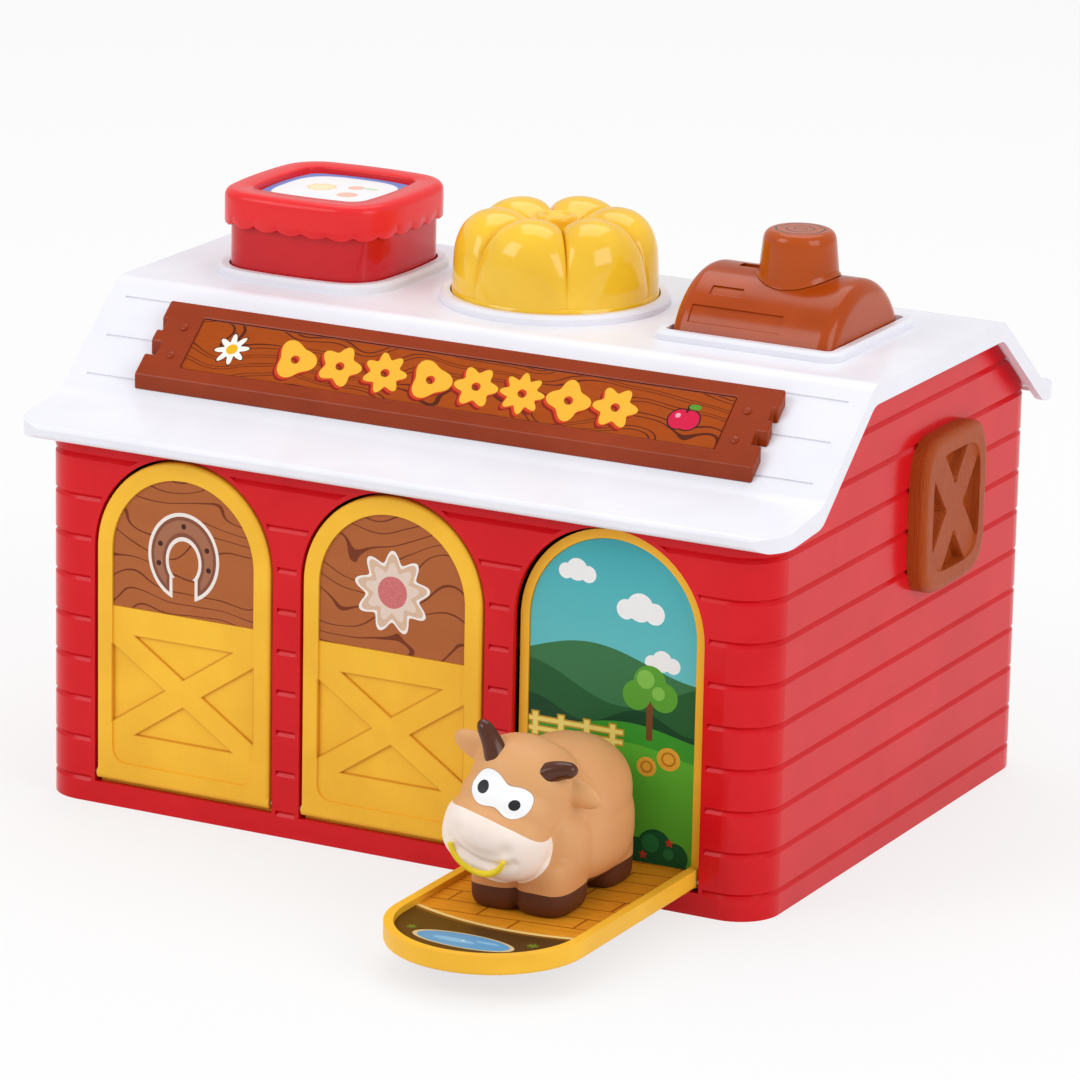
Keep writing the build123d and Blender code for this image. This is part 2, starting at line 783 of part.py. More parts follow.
def make_bull():
    """The bull, standing on the open tray, at x = 0: its head is tilted to its left."""
    bull = pebble(on_tray(bull_body_place), bull_body_size, bull_body_round)
    bull += legs(bull_foot_spread, bull_feet_out, bull_foot_radius, bull_leg_height)
    head = pebble((0.0, 0.0, 0.0), bull_head_size, bull_head_round)
    head += pebble(bull_muzzle_place, bull_muzzle_size, bull_muzzle_round)
    for side in (-1, 1):
        head += horn(mirrored(bull_horn_root, side), mirrored(bull_horn_tip, side), bull_horn_radii)
        head += pebble(mirrored(bull_ear_place, side), ear_size, ear_round)
    return bull + Pos(*on_tray(bull_head_place)) * Rot(0, bull_head_tilt, 0) * head


def make_horse():
    """The horse of the left door, in the open pose, at x = 0."""
    horse = pebble(on_tray(horse_body_place), horse_body_size, horse_body_round)
    horse += legs(horse_foot_spread, horse_feet_out, small_foot_radius, horse_leg_height)
    neck = fillet(Box(*horse_neck_size).edges(), horse_neck_round)
    horse += Pos(*on_tray(horse_neck_place)) * Rot(horse_neck_lean, 0, 0) * neck
    horse += pebble(on_tray(horse_head_place), horse_head_size, horse_head_round)
    horse += pebble(on_tray(horse_nose_place), horse_nose_size, horse_nose_round)
    for side in (-1, 1):
        horse += horn(on_tray(horse_ear_root, side), on_tray(horse_ear_tip, side), horse_ear_radii)
    return horse


def make_sheep():
    """The sheep of the middle door, in the open pose, at x = 0."""
    sheep = pebble(on_tray(sheep_body_place), sheep_body_size, sheep_body_round)
    sheep += legs(sheep_foot_spread, sheep_feet_out, small_foot_radius, sheep_leg_height)
    sheep += pebble(on_tray(sheep_head_place), sheep_head_size, sheep_head_round)
    sheep += pebble(on_tray(sheep_fringe_place), sheep_fringe_size, sheep_fringe_round)
    for side in (-1, 1):
        sheep += pebble(on_tray(sheep_ear_place, side), ear_size, ear_round)
    return sheep


# Controls

def jar_place(face):
    """Move a plan outline to the jar's centre."""
    return Pos(jar_x, control_y) * face


def make_jar_body():
    """The red jar: a hollow square cup with a long stem that ends in a wedge."""
    low, high = roof_top - below_roof, roof_top + jar_body_height
    body = upright(jar_place(pillow()), low, high) \
        - upright(jar_place(pillow(-jar_wall)), low - 1, high - jar_wall)
    body += rod_z(jar_x, control_y, nub_top - nub_height - jar_travel / 3, high - jar_wall, shaft_radius)
    slope_top = nub_top + jar_travel
    land_top = slope_top + jar_wedge_land
    wedge = make_face(Polyline(
        (control_y, nub_top), (post_back, nub_top), (post_back + push, slope_top),
        (post_back + push, land_top), (control_y, land_top + jar_wedge_taper), close=True))
    return body + across(wedge, jar_x - jar_wedge_width / 2, jar_x + jar_wedge_width / 2)


def scallop_cutter(low):
    """Rounded tongues along each side of the lid's skirt, as one solid with the skirt above them."""
    reach_x = jar_half_x + jar_lid_overhang
    reach_y = jar_half_y + jar_lid_overhang
    high = roof_top + jar_lid_top
    tongues = block(-reach_x - 5, reach_x + 5, -reach_y - 5, reach_y + 5, low, high)
    step_x, step_y = 2 * reach_x / scallops_per_side, 2 * reach_y / scallops_per_side

    def tongue(step):
        radius = ((step / 2) ** 2 + jar_scallop ** 2) / (2 * jar_scallop)
        disc = Pos(0, low + radius - jar_scallop) * Circle(radius)
        return disc & (Pos(0, low - jar_scallop / 2) * Rectangle(step, jar_scallop))

    for index in range(scallops_per_side):
        offset = index - (scallops_per_side - 1) / 2
        tongues += Pos(offset * step_x, 0, 0) * facing(tongue(step_x), -reach_y - 5, reach_y + 5)
        tongues += Pos(0, offset * step_y, 0) * across(tongue(step_y), -reach_x - 5, reach_x + 5)
    return Pos(jar_x, control_y, 0) * tongues


def make_jar_lid():
    """The jar's lid: an overhanging cap with a scalloped skirt and a framed top."""
    high = roof_top + jar_lid_top
    low = high - jar_lid_skirt
    outer = upright(jar_place(pillow(jar_lid_overhang)), low - jar_scallop, high)
    outer = fillet(outer.faces().sort_by(Axis.Z)[-1].edges(), jar_lid_round)
    inner = upright(jar_place(pillow(seat_gap)), low - jar_scallop - 1, roof_top + jar_body_height)
    lid = (outer - inner) & scallop_cutter(low)
    return lid - upright(jar_place(pillow(-jar_recess_inset)), high - jar_recess_depth, high + 1)


def make_jar_label():
    """The printed sheet in the lid's recess."""
    floor = roof_top + jar_lid_top - jar_recess_depth
    return upright(jar_place(pillow(-jar_recess_inset - label_gap)), floor, floor + label_thickness)


def coil(mean_radius, wire, turns, height):
    """A round-wire helical spring standing on z = 0, with its wire's centre line inside its height."""
    rise = height - 2 * wire
    path = Helix(pitch=rise / turns, height=rise, radius=mean_radius)
    section = Plane(origin=path @ 0, z_dir=path % 0) * Circle(wire)
    return Pos(0, 0, wire) * sweep(section, path=path)


def make_jar_spring():
    """The spring that lifts the jar again."""
    height = roof_top + jar_body_height - jar_wall - deck_top
    radius = shaft_radius + jar_coil_gap + jar_coil_wire
    return Pos(jar_x, control_y, deck_top) * coil(radius, jar_coil_wire, jar_coil_turns, height)


def make_door_spring():
    """The spring round the hinge rod that helps a door down, at x = 0."""
    radius = rod_radius + spring_gap + door_coil_wire
    length = spring_notch - 2 * spring_gap
    spring = Rot(0, 90, 0) * coil(radius, door_coil_wire, door_coil_turns, length)
    return Pos(-length / 2, hinge_y, hinge_z) * spring


def make_pumpkin_knob():
    """The yellow pumpkin: round lobes about a dished middle, hollow below, with a flat stalk."""
    low = roof_top - below_roof
    high = roof_top + pumpkin_top
    hub_top = roof_top + pumpkin_hub_top
    ring = pumpkin_radius - pumpkin_lobe_radius
    lobe = rod_z(ring, 0, low, high, pumpkin_lobe_radius)
    lobe = fillet(lobe.faces().sort_by(Axis.Z)[-1].edges(), pumpkin_lobe_round)
    knob = rod_z(0, 0, low, roof_top + pumpkin_foot, pumpkin_radius)
    for index in range(pumpkin_lobes):
        knob += Rot(0, 0, (index + 0.5) * 360 / pumpkin_lobes + pumpkin_lobe_turn) * lobe
    dish = Cone(*pumpkin_dish_radii, high - hub_top)
    knob -= Pos(0, 0, (high + hub_top) / 2) * dish
    stalk_top = hub_top + stalk_height
    stalk = rod_z(0, 0, roof_top, stalk_top, stalk_radius)
    knob += fillet(stalk.faces().sort_by(Axis.Z)[-1].edges(), stalk_round)
    knob -= rod_z(0, 0, stalk_top - stalk_dimple_depth, stalk_top + 1, stalk_dimple)
    knob -= rod_z(0, 0, low - 1, high - pumpkin_roof, pumpkin_cavity_radius)
    knob += rod_z(0, 0, low + socket_rise, high - pumpkin_roof, shaft_radius + socket_wall)
    knob -= rod_z(0, 0, low - 1, high - pumpkin_roof - socket_cap, shaft_radius)
    return Pos(0, control_y, 0) * knob


def make_pumpkin_shaft():
    """The pumpkin's shaft, with an eccentric at its foot that pushes the middle latch."""
    high = roof_top + pumpkin_top - pumpkin_roof - socket_cap
    shaft = rod_z(0, control_y, nub_top + cam_land, high, shaft_radius)
    angle = radians(90 - cam_start)
    cam = rod_z(cam_offset * cos(angle), control_y + cam_offset * sin(angle),
                nub_top - nub_height, nub_top + cam_land, cam_radius)
    return shaft + cam


def make_pumpkin_clip():
    """The spring clip under the deck that keeps the shaft in its bearing."""
    high = deck_bottom - seat_gap
    low = high - clip_thickness
    outer = shaft_radius + clip_wall
    clip = rod_z(0, control_y, low, high, outer) - rod_z(0, control_y, low - 1, high + 1, shaft_radius)
    return clip - block(-clip_mouth / 2, clip_mouth / 2, control_y - outer - 1, control_y, low - 1, high + 1)


def make_log_cover():
    """The half log: round back, eased ends, hollow below, a slot along its crest and two bark marks."""
    x0, x1 = log_x - log_length / 2, log_x + log_length / 2
    shell = across(log_outline(), x0, x1)
    end_edges = shell.edges().filter_by(GeomType.CIRCLE)
    shell = fillet(end_edges, log_end_round)
    hollow = across(log_outline(log_wall, roof_top - 1), x0 + log_wall + 2, x1 - log_wall - 2)
    shell -= hollow
    shell -= stem_slot(0.0, roof_top, roof_top + log_crest + 1)
    skin = across(log_outline(mark_depth), x0 + log_end_round, x1 - log_end_round)
    for start, end, low, high in log_marks:
        mark = block(x0 + start, x0 + end, control_y - log_radius, control_y, roof_top + low, roof_top + high)
        shell -= mark - skin
    return shell


def make_stump_knob():
    """The stump: a tapered knob that sits astride the log, on a square stem through the slot."""
    low = roof_top + log_crest - stump_skirt
    high = roof_top + stump_top
    height = high - low
    taper = degrees(atan((stump_base_radius - stump_top_radius) / height))
    knob = Pos(stump_place, control_y, low) * extrude(Circle(stump_base_radius), height, taper=taper)
    knob = fillet(knob.faces().sort_by(Axis.Z)[-1].edges(), stump_round)
    saddle = rod_x(log_x - log_length, log_x + log_length, control_y, log_axis_z,
                   log_radius + stump_saddle_gap)
    knob -= saddle
    half = stem_side / 2
    thin = stem_thickness / 2
    stem = block(stump_place - half, stump_place + half, control_y - thin, control_y + thin,
                 carriage_top, high - stump_skirt)
    return knob + stem


def make_stump_carriage():
    """The slide under the stump: a shoe on the deck and a finger with a long wedge for the right latch."""
    half = stem_side / 2
    shoe = block(stump_place - shoe_half_x, stump_place + shoe_half_x, control_y - shoe_half_y,
                 control_y + shoe_half_y, deck_top + stem_gap, carriage_top)
    finger = block(stump_place - half, stump_place + half, control_y - half, post_back,
                   nub_top - nub_height, deck_top + stem_gap + finger_overlap)
    start = log_x - nub_radius - wedge_lead
    length = stump_travel + 2 * (nub_radius + wedge_lead)
    slope = push / stump_travel
    wedge = make_face(Polyline(
        (start, control_y - half), (start + length, control_y - half),
        (start + length, post_back + slope * (start + length - log_x)), (log_x, post_back),
        (start, post_back), close=True))
    return shoe + finger + upright(wedge, nub_top - nub_height, nub_top)


def make_latch(x):
    """One hanging latch: an eye, a long arm, a nub that its control pushes and a toe beside the door's tail."""
    half = latch_width / 2
    eye = rod_x(x - half, x + half, latch_y, latch_pivot_height, latch_eye_radius)
    low = backdrop_low
    arm = block(x - half, x + half, latch_y - latch_thickness / 2, latch_y + latch_thickness / 2,
                low, latch_pivot_height)
    nub = rod_z(x, nub_front + nub_radius, nub_top - nub_height, nub_top, nub_radius)
    toe = make_face(Polyline(
        (latch_y, low), (toe_front, low), (toe_front, low + toe_height),
        (latch_y, low + toe_height + toe_brace), close=True))
    latch = eye + arm + nub + across(toe, x - half, x + half)
    return latch - rod_x(x - half, x + half, latch_y, latch_pivot_height, latch_rod_radius + running_gap)


def make_deck():
    """The mechanism plate under the roof: bearings, a slide slot, and ears for the latch rod."""
    deck = upright(Pos(0, (deck_front + deck_back) / 2)
                   * RectangleRounded(2 * deck_half_x, deck_back - deck_front, 6.0), deck_bottom, deck_top)
    for x in control_centres:
        for side in (-1, 1):
            near = x + side * (latch_width / 2 + latch_gap)
            far = near + side * ear_thickness
            x0, x1 = min(near, far), max(near, far)
            deck += block(x0, x1, latch_y - latch_eye_radius, latch_y + latch_eye_radius,
                          latch_pivot_height, deck_bottom)
            deck += rod_x(x0, x1, latch_y, latch_pivot_height, latch_eye_radius)
    deck += rod_z(jar_x, control_y, deck_bottom - guide_length, deck_bottom, shaft_radius + guide_wall)
    for x in (jar_x, 0.0):
        deck -= rod_z(x, control_y, deck_bottom - guide_length - 1, deck_top + 1, shaft_radius + running_gap)
    keyway = jar_wedge_width / 2 + stem_gap
    deck -= block(jar_x - keyway, jar_x + keyway, control_y, post_back + push + stem_gap,
                  deck_bottom - guide_length - 1, deck_top + 1)
    slot = stem_side / 2 + stem_gap
    deck -= block(stump_place - stump_travel - slot, stump_place + slot, control_y - slot,
                  control_y + slot, deck_bottom - 1, deck_top + 1)
    deck -= rod_x(-half_width, half_width, latch_y, latch_pivot_height, latch_rod_radius)
    for x, y in boss_places:
        deck -= rod_z(x, y, deck_bottom - 1, deck_top + 1, screw_radius)
    return deck


def main():
    """Build every node."""
    os.makedirs("parts", exist_ok=True)
    save("barn_shell", make_barn_shell())
    save("base_plate", make_base_plate())
    save("roof_shell", make_roof_shell())
    save("sign_board", make_sign_board())
    save("sign_label", make_sign_label())
    save("window_left", make_window(-1))
    save("window_right", make_window(1))
    save("log_cover", make_log_cover())
    save("control_deck", make_deck())
    save("hinge_rod", rod_x(-hinge_rod_end, hinge_rod_end, hinge_y, hinge_z, rod_radius))
    save("latch_rod", rod_x(-latch_rod_end, latch_rod_end, latch_y, latch_pivot_height, latch_rod_radius))
    deck_screws = [Pos(x, y, deck_bottom - screw_head_height) * screw() for x, y in boss_places]
    save("deck_screws", Compound(children=deck_screws))
    base_screws = [Pos(x, y, 0) * screw() for x, y in post_places]
    save("base_screws", Compound(children=base_screws))

    figures = {"left": ("horse_figure", make_horse), "middle": ("sheep_figure", make_sheep),
               "right": ("bull_figure", make_bull)}
    for (name, (figure_name, figure)), x in zip(figures.items(), door_centres):
        angle = 90 if name == "right" else 0
        place = Pos(x, 0, 0)
        save("flap_" + name, place * turned(make_flap(), angle))
        save("door_label_" + name, place * turned(make_door_label(), angle))
        save("floor_label_" + name, place * turned(make_floor_label(), angle))
        save("backdrop_label_" + name, place * turned(make_backdrop_label(), angle))
        save(figure_name, place * turned(figure(), angle - 90))
        save("door_spring_" + name, place * make_door_spring())

    save("jar_body", make_jar_body())
    save("jar_lid", make_jar_lid())
    save("jar_label", make_jar_label())
    save("jar_spring", make_jar_spring())
    save("pumpkin_knob", make_pumpkin_knob())
    save("pumpkin_shaft", make_pumpkin_shaft())
    save("pumpkin_clip", make_pumpkin_clip())
    save("stump_knob", make_stump_knob())
    save("stump_carriage", make_stump_carriage())
    for name, x in zip(("left", "middle", "right"), control_centres):
        save("latch_" + name, make_latch(x))


main()
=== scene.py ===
import json
import logging
from collections.abc import Callable
from dataclasses import dataclass
from enum import Enum
from functools import reduce
from math import cos, pi, radians, sin, sqrt
from operator import add, or_

import bmesh
import bpy
import numpy as np
from mathutils import Matrix, Vector


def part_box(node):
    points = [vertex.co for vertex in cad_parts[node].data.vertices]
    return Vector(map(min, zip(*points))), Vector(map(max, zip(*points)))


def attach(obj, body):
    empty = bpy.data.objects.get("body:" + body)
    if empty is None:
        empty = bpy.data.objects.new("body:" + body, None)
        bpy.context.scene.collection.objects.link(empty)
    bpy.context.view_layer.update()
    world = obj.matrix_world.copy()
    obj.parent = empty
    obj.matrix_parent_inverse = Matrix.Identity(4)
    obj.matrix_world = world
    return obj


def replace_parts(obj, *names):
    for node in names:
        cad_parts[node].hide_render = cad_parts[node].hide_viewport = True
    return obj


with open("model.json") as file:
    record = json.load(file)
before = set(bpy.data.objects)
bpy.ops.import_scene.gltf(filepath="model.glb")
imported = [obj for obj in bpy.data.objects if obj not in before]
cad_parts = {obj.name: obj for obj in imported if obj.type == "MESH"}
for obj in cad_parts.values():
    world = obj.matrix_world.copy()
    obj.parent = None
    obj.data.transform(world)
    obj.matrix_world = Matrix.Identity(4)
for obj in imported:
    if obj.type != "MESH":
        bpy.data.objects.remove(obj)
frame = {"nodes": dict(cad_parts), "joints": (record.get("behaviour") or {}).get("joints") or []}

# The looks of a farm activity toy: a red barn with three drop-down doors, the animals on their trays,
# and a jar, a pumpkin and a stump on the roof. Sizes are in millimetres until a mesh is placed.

log = logging.getLogger("farm_toy")
MM = 0.001
Array = np.ndarray
Colour = tuple[float, float, float, float]
Triple = tuple[float, float, float]
Places = tuple[tuple[float, ...], ...]
Blocks = tuple[tuple[tuple[float, ...], ...], ...]
Socket = bpy.types.NodeSocket
FORWARD = (0.0, -1.0, 0.0)
WHITE = (1.0, 1.0, 1.0, 1.0)


def paint(code: str) -> Colour:
    """A colour as the shaders take it.

    Args:
        code: six hexadecimal digits of red, green and blue, as a screen shows them.

    Returns:
        The linear colour, with full cover.
    """
    screen = np.array([int(code[place:place + 2], 16) for place in (0, 2, 4)]) / 255
    linear = np.where(screen <= 0.04045, screen / 12.92, ((screen + 0.055) / 1.055) ** 2.4)
    return (*linear.tolist(), 1.0)


def corners(node: str) -> tuple[Array, Array]:
    """A CAD node's lowest and highest corners in millimetres."""
    low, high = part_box(node)
    return np.array(low) / MM, np.array(high) / MM


# Surfaces

@dataclass
class Patch:
    """Points in millimetres, and the faces between them."""

    points: Array
    quads: Array
    triangles: Array

    def moved(self, shift: Triple) -> "Patch":
        """The patch somewhere else."""
        return Patch(self.points + np.array(shift), self.quads, self.triangles)

    def turned(self, axis: str, angle: float) -> "Patch":
        """The patch turned about X, Y or Z by an angle in degrees."""
        turn = np.array(Matrix.Rotation(radians(angle), 3, axis))
        return Patch(self.points @ turn.T, self.quads, self.triangles)


def joined(patches: list[Patch]) -> Patch:
    """Several patches as one.

    Args:
        patches: the patches, in any order.

    Returns:
        One patch with all their points and faces.
    """
    starts = np.cumsum([0] + [len(patch.points) for patch in patches[:-1]])
    return Patch(np.concatenate([patch.points for patch in patches]),
                 np.concatenate([patch.quads + start for patch, start in zip(patches, starts)]),
                 np.concatenate([patch.triangles + start for patch, start in zip(patches, starts)]))


def grid(rows: Array) -> Patch:
    """Faces over a grid of points whose columns close on themselves, with a fan over either end row.

    Columns run anticlockwise seen from the last row, so that the faces look outwards.

    Args:
        rows: the points, as rows by columns by three.

    Returns:
        The closed patch.
    """
    count, around = rows.shape[:2]
    total = count * around
    index = np.arange(total).reshape(count, around)
    beside = np.roll(index, -1, axis=1)
    quads = np.stack([index[:-1], beside[:-1], beside[1:], index[1:]], axis=-1).reshape(-1, 4)
    first = np.stack([beside[0], index[0], np.full(around, total)], axis=-1)
    last = np.stack([index[-1], beside[-1], np.full(around, total + 1)], axis=-1)
    centres = np.stack([rows[0].mean(axis=0), rows[-1].mean(axis=0)])
    return Patch(np.concatenate([rows.reshape(-1, 3), centres]), quads, np.concatenate([first, last]))


def curve(points: Places, count: int) -> Array:
    """A smooth line through a few points: each stretch is the cubic whose end slopes are half the chord
    between the neighbours.

    Args:
        points: the points to pass through.
        count: how many points the line gets.

    Returns:
        The line's points.
    """
    given = np.array(points, float)
    padded = np.concatenate([2 * given[:1] - given[1:2], given, 2 * given[-1:] - given[-2:-1]])
    place = np.linspace(0, len(given) - 1, count)
    first = np.minimum(place.astype(int), len(given) - 2)
    t = (place - first)[:, None]
    before, here, there, after = (padded[first + step] for step in range(4))
    return 0.5 * (2 * here + (there - before) * t + (2 * before - 5 * here + 4 * there - after) * t ** 2
                  + (3 * here - before - 3 * there + after) * t ** 3)


def turning(count: int) -> Array:
    """Angles once round, in radians."""
    return np.linspace(0, 2 * pi, count, endpoint=False)


def carried(radius: Array, height: Array, angle: Array) -> Array:
    """Rows of points at a radius, a height and each column's angle about the Z axis."""
    places = np.broadcast_arrays(radius * np.cos(angle), radius * np.sin(angle), height)
    return np.stack(places, axis=-1)


def revolved(profile: Array, around: int = 96) -> Patch:
    """A profile of radius and height, from the bottom outwards and up, carried round the Z axis."""
    return grid(carried(profile[:, :1], profile[:, 1:2], turning(around)))


def bent(wave: Array, strength: float) -> Array:
    """A sine or cosine raised to a power, with its sign kept."""
    return np.sign(wave) * np.abs(wave) ** strength


def blob(centre: Triple, half: Triple, power: tuple[float, float] = (1.0, 1.0), rows: int = 32,
         around: int = 56) -> Patch:
    """A rounded block. A point's height is the sine of its latitude and its reach is the cosine, each raised
    to the first power; across and along are the cosine and sine of its longitude, raised to the second. A
    power of 1 gives an ellipsoid, and smaller powers a squarer block.

    Args:
        centre: where it sits.
        half: its half sizes along X, Y and Z.
        power: the powers for latitude and longitude.
        rows: how many rows.
        around: how many columns.

    Returns:
        The closed surface.
    """
    latitude = np.linspace(-pi / 2, pi / 2, rows + 2)[1:-1, None]
    longitude = turning(around)[None]
    reach = bent(np.cos(latitude), power[0])
    rows_of_points = np.stack([half[0] * reach * bent(np.cos(longitude), power[1]),
                               half[1] * reach * bent(np.sin(longitude), power[1]),
                               half[2] * bent(np.sin(latitude), power[0]) + 0 * longitude], axis=-1)
    return grid(rows_of_points + np.array(centre))


def tube(path: Array, radius: Array, upright: Triple, around: int = 24) -> Patch:
    """A round bar along a path: each point carries a circle square to the path.

    Args:
        path: the points of the centre line.
        radius: the radius at each point.
        upright: a direction that the path never runs in, and that the circles start from.
        around: how many columns.

    Returns:
        The closed surface.
    """
    tangent = np.gradient(path, axis=0)
    tangent /= np.linalg.norm(tangent, axis=1, keepdims=True)
    side = np.cross(np.array(upright, float), tangent)
    side /= np.linalg.norm(side, axis=1, keepdims=True)
    other = np.cross(tangent, side)
    angle = turning(around)[None, :, None]
    circle = np.cos(angle) * side[:, None] + np.sin(angle) * other[:, None]
    return grid(path[:, None] + radius[:, None, None] * circle)


@dataclass(frozen=True)
class Place:
    """Where a piece drawn in its own frame stands: a turn about X, then a move."""

    shift: Triple = (0.0, 0.0, 0.0)
    turn: float = 0.0
    pivot: Triple = (0.0, 0.0, 0.0)

    def applied(self, points: Array) -> Array:
        """Points of the piece's own frame as they stand.

        Args:
            points: the points.

        Returns:
            The points, turned about the pivot and moved.
        """
        matrix = np.array(Matrix.Rotation(radians(self.turn), 3, "X"))
        pivot = np.array(self.pivot)
        return (points - pivot) @ matrix.T + pivot + np.array(self.shift)


def mesh_piece(name: str, patch: Patch, place: Place = Place(), sharp: float = 40.0) -> bpy.types.Object:
    """A patch as an object at the origin, with its own-frame places kept in the attribute called own.

    Args:
        name: the piece's name.
        patch: its points and faces, in its own frame.
        place: where it stands.
        sharp: the angle in degrees above which an edge is crisp.

    Returns:
        The new object.
    """
    mesh = bpy.data.meshes.new(name)
    mesh.from_pydata((place.applied(patch.points) * MM).tolist(), [],
                     patch.quads.tolist() + patch.triangles.tolist())
    own = mesh.attributes.new("own", "FLOAT_VECTOR", "POINT")
    own.data.foreach_set("vector", patch.points.astype(np.float32).ravel())
    mesh.polygons.foreach_set("use_smooth", np.ones(len(mesh.polygons), bool))
    mesh.set_sharp_from_angle(angle=radians(sharp))
    piece = bpy.data.objects.new(name, mesh)
    bpy.context.scene.collection.objects.link(piece)
    return piece


def finished_mesh(piece: bpy.types.Object) -> bpy.types.Mesh:
    """A piece's mesh with its modifiers worked in."""
    return bpy.data.meshes.new_from_object(piece.evaluated_get(bpy.context.evaluated_depsgraph_get()))


def melted(patches: list[Patch], voxel: float, passes: int) -> Patch:
    """Overlapping closed patches as one skin, with the creases between them smoothed.

    Args:
        patches: closed patches in the piece's own frame.
        voxel: the size of the skin's faces.
        passes: how often each point moves half way to its neighbours' mean.

    Returns:
        The skin.
    """
    rough = mesh_piece("rough", joined(patches))
    rough.data.transform(Matrix.Scale(1 / MM, 4))
    skin = rough.modifiers.new("skin", "REMESH")
    skin.mode, skin.voxel_size = "VOXEL", voxel
    ease = rough.modifiers.new("ease", "SMOOTH")
    ease.factor, ease.iterations = 0.5, passes
    mesh = finished_mesh(rough)
    points = np.empty(len(mesh.vertices) * 3, np.float32)
    mesh.vertices.foreach_get("co", points)
    quads = np.array([face.vertices[:] for face in mesh.polygons if len(face.vertices) == 4]).reshape(-1, 4)
    triangles = np.array([face.vertices[:] for face in mesh.polygons if len(face.vertices) == 3], int)
    bpy.data.objects.remove(rough)
    return Patch(points.reshape(-1, 3).astype(float), quads, triangles.reshape(-1, 3))


def pressed(patch: Patch, path: Array, width: float, depth: float) -> Patch:
    """A skin with a rounded line pressed into it: a point moves along its normal by depth times the bell
    curve of its distance from the line.

    Args:
        patch: the skin.
        path: the line's points.
        width: how far the bell curve reaches.
        depth: how deep it is; less than nothing raises a ridge.

    Returns:
        The pressed skin.
    """
    faces = patch.points[patch.quads]
    square = np.cross(faces[:, 2] - faces[:, 0], faces[:, 3] - faces[:, 1])
    normals = np.zeros_like(patch.points)
    for corner in range(4):
        np.add.at(normals, patch.quads[:, corner], square)
    normals /= np.maximum(np.linalg.norm(normals, axis=1, keepdims=True), 1e-9)
    near = np.linalg.norm(patch.points[:, None] - path[None], axis=2).min(axis=1)
    amount = depth * np.exp(-(near / width) ** 2)
    return Patch(patch.points - normals * amount[:, None], patch.quads, patch.triangles)


def eased(node: str, name: str, width: float, angle: float) -> bpy.types.Object:
    """A merged copy of a CAD node whose sharp edges are eased, as a mould leaves them.

    Args:
        node: the CAD node.
        name: the copy's name.
        width: how wide the easing is.
        angle: the angle in degrees from which an edge is eased.

    Returns:
        The new object, which stands for the node.
    """
    work = bmesh.new()
    work.from_mesh(frame["nodes"][node].data)
    bmesh.ops.remove_doubles(work, verts=work.verts, dist=1e-6)
    bmesh.ops.dissolve_limit(work, angle_limit=radians(0.4), verts=work.verts, edges=work.edges)
    mesh = bpy.data.meshes.new(name)
    work.to_mesh(mesh)
    work.free()
    if "custom_normal" in mesh.attributes:
        mesh.attributes.remove(mesh.attributes["custom_normal"])
    mesh.materials.clear()
    mesh.polygons.foreach_set("use_smooth", np.ones(len(mesh.polygons), bool))
    piece = bpy.data.objects.new(name, mesh)
    bpy.context.scene.collection.objects.link(piece)
    bevel = piece.modifiers.new("ease", "BEVEL")
    bevel.width, bevel.segments, bevel.limit_method = width * MM, 2, "ANGLE"
    bevel.angle_limit, bevel.use_clamp_overlap, bevel.harden_normals = radians(angle), False, True
    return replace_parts(piece, node)


# Shaders

def node_maths(operation: str, first: bool = True) -> Callable[..., "Value"]:
    """A method that works out one Math node.

    Args:
        operation: the node's operation.
        first: whether the value is the node's first input or its second.

    Returns:
        The method.
    """
    def method(value: "Value", *others: "Value | float") -> "Value":
        """The node's result."""
        return value.maths(operation, *others, first=first)

    return method


class Value:
    """A shader number that takes part in Python arithmetic. A smaller-than or greater-than gives 1 or 0. For
    shapes that are given by their distances, | joins two shapes and & is where they meet."""

    def __init__(self, graph: "Graph", socket: Socket) -> None:
        """Wrap a socket of a graph."""
        self.graph, self.socket = graph, socket

    def maths(self, operation: str, *others: "Value | float", first: bool = True) -> "Value":
        """One Math node.

        Args:
            operation: the node's operation.
            others: its other inputs.
            first: whether this value is the first input or the second.

        Returns:
            The result.
        """
        terms = (self, *others) if first else (*others, self)
        made = self.graph.node("ShaderNodeMath", {"operation": operation}, dict(enumerate(terms)))
        return Value(self.graph, made.outputs[0])

    __add__ = __radd__ = node_maths("ADD")
    __sub__ = node_maths("SUBTRACT")
    __rsub__ = node_maths("SUBTRACT", first=False)
    __mul__ = __rmul__ = node_maths("MULTIPLY")
    __truediv__ = node_maths("DIVIDE")
    __pow__ = node_maths("POWER")
    __lt__ = node_maths("LESS_THAN")
    __gt__ = node_maths("GREATER_THAN")
    __or__ = node_maths("MINIMUM")
    __and__ = node_maths("MAXIMUM")
    __abs__ = node_maths("ABSOLUTE")
    sine = node_maths("SINE")
    fraction = node_maths("FRACT")
    whole = node_maths("FLOOR")

    def held(self) -> "Value":
        """This value kept between 0 and 1."""
        made = self.graph.node("ShaderNodeClamp", {}, {0: self})
        return Value(self.graph, made.outputs[0])


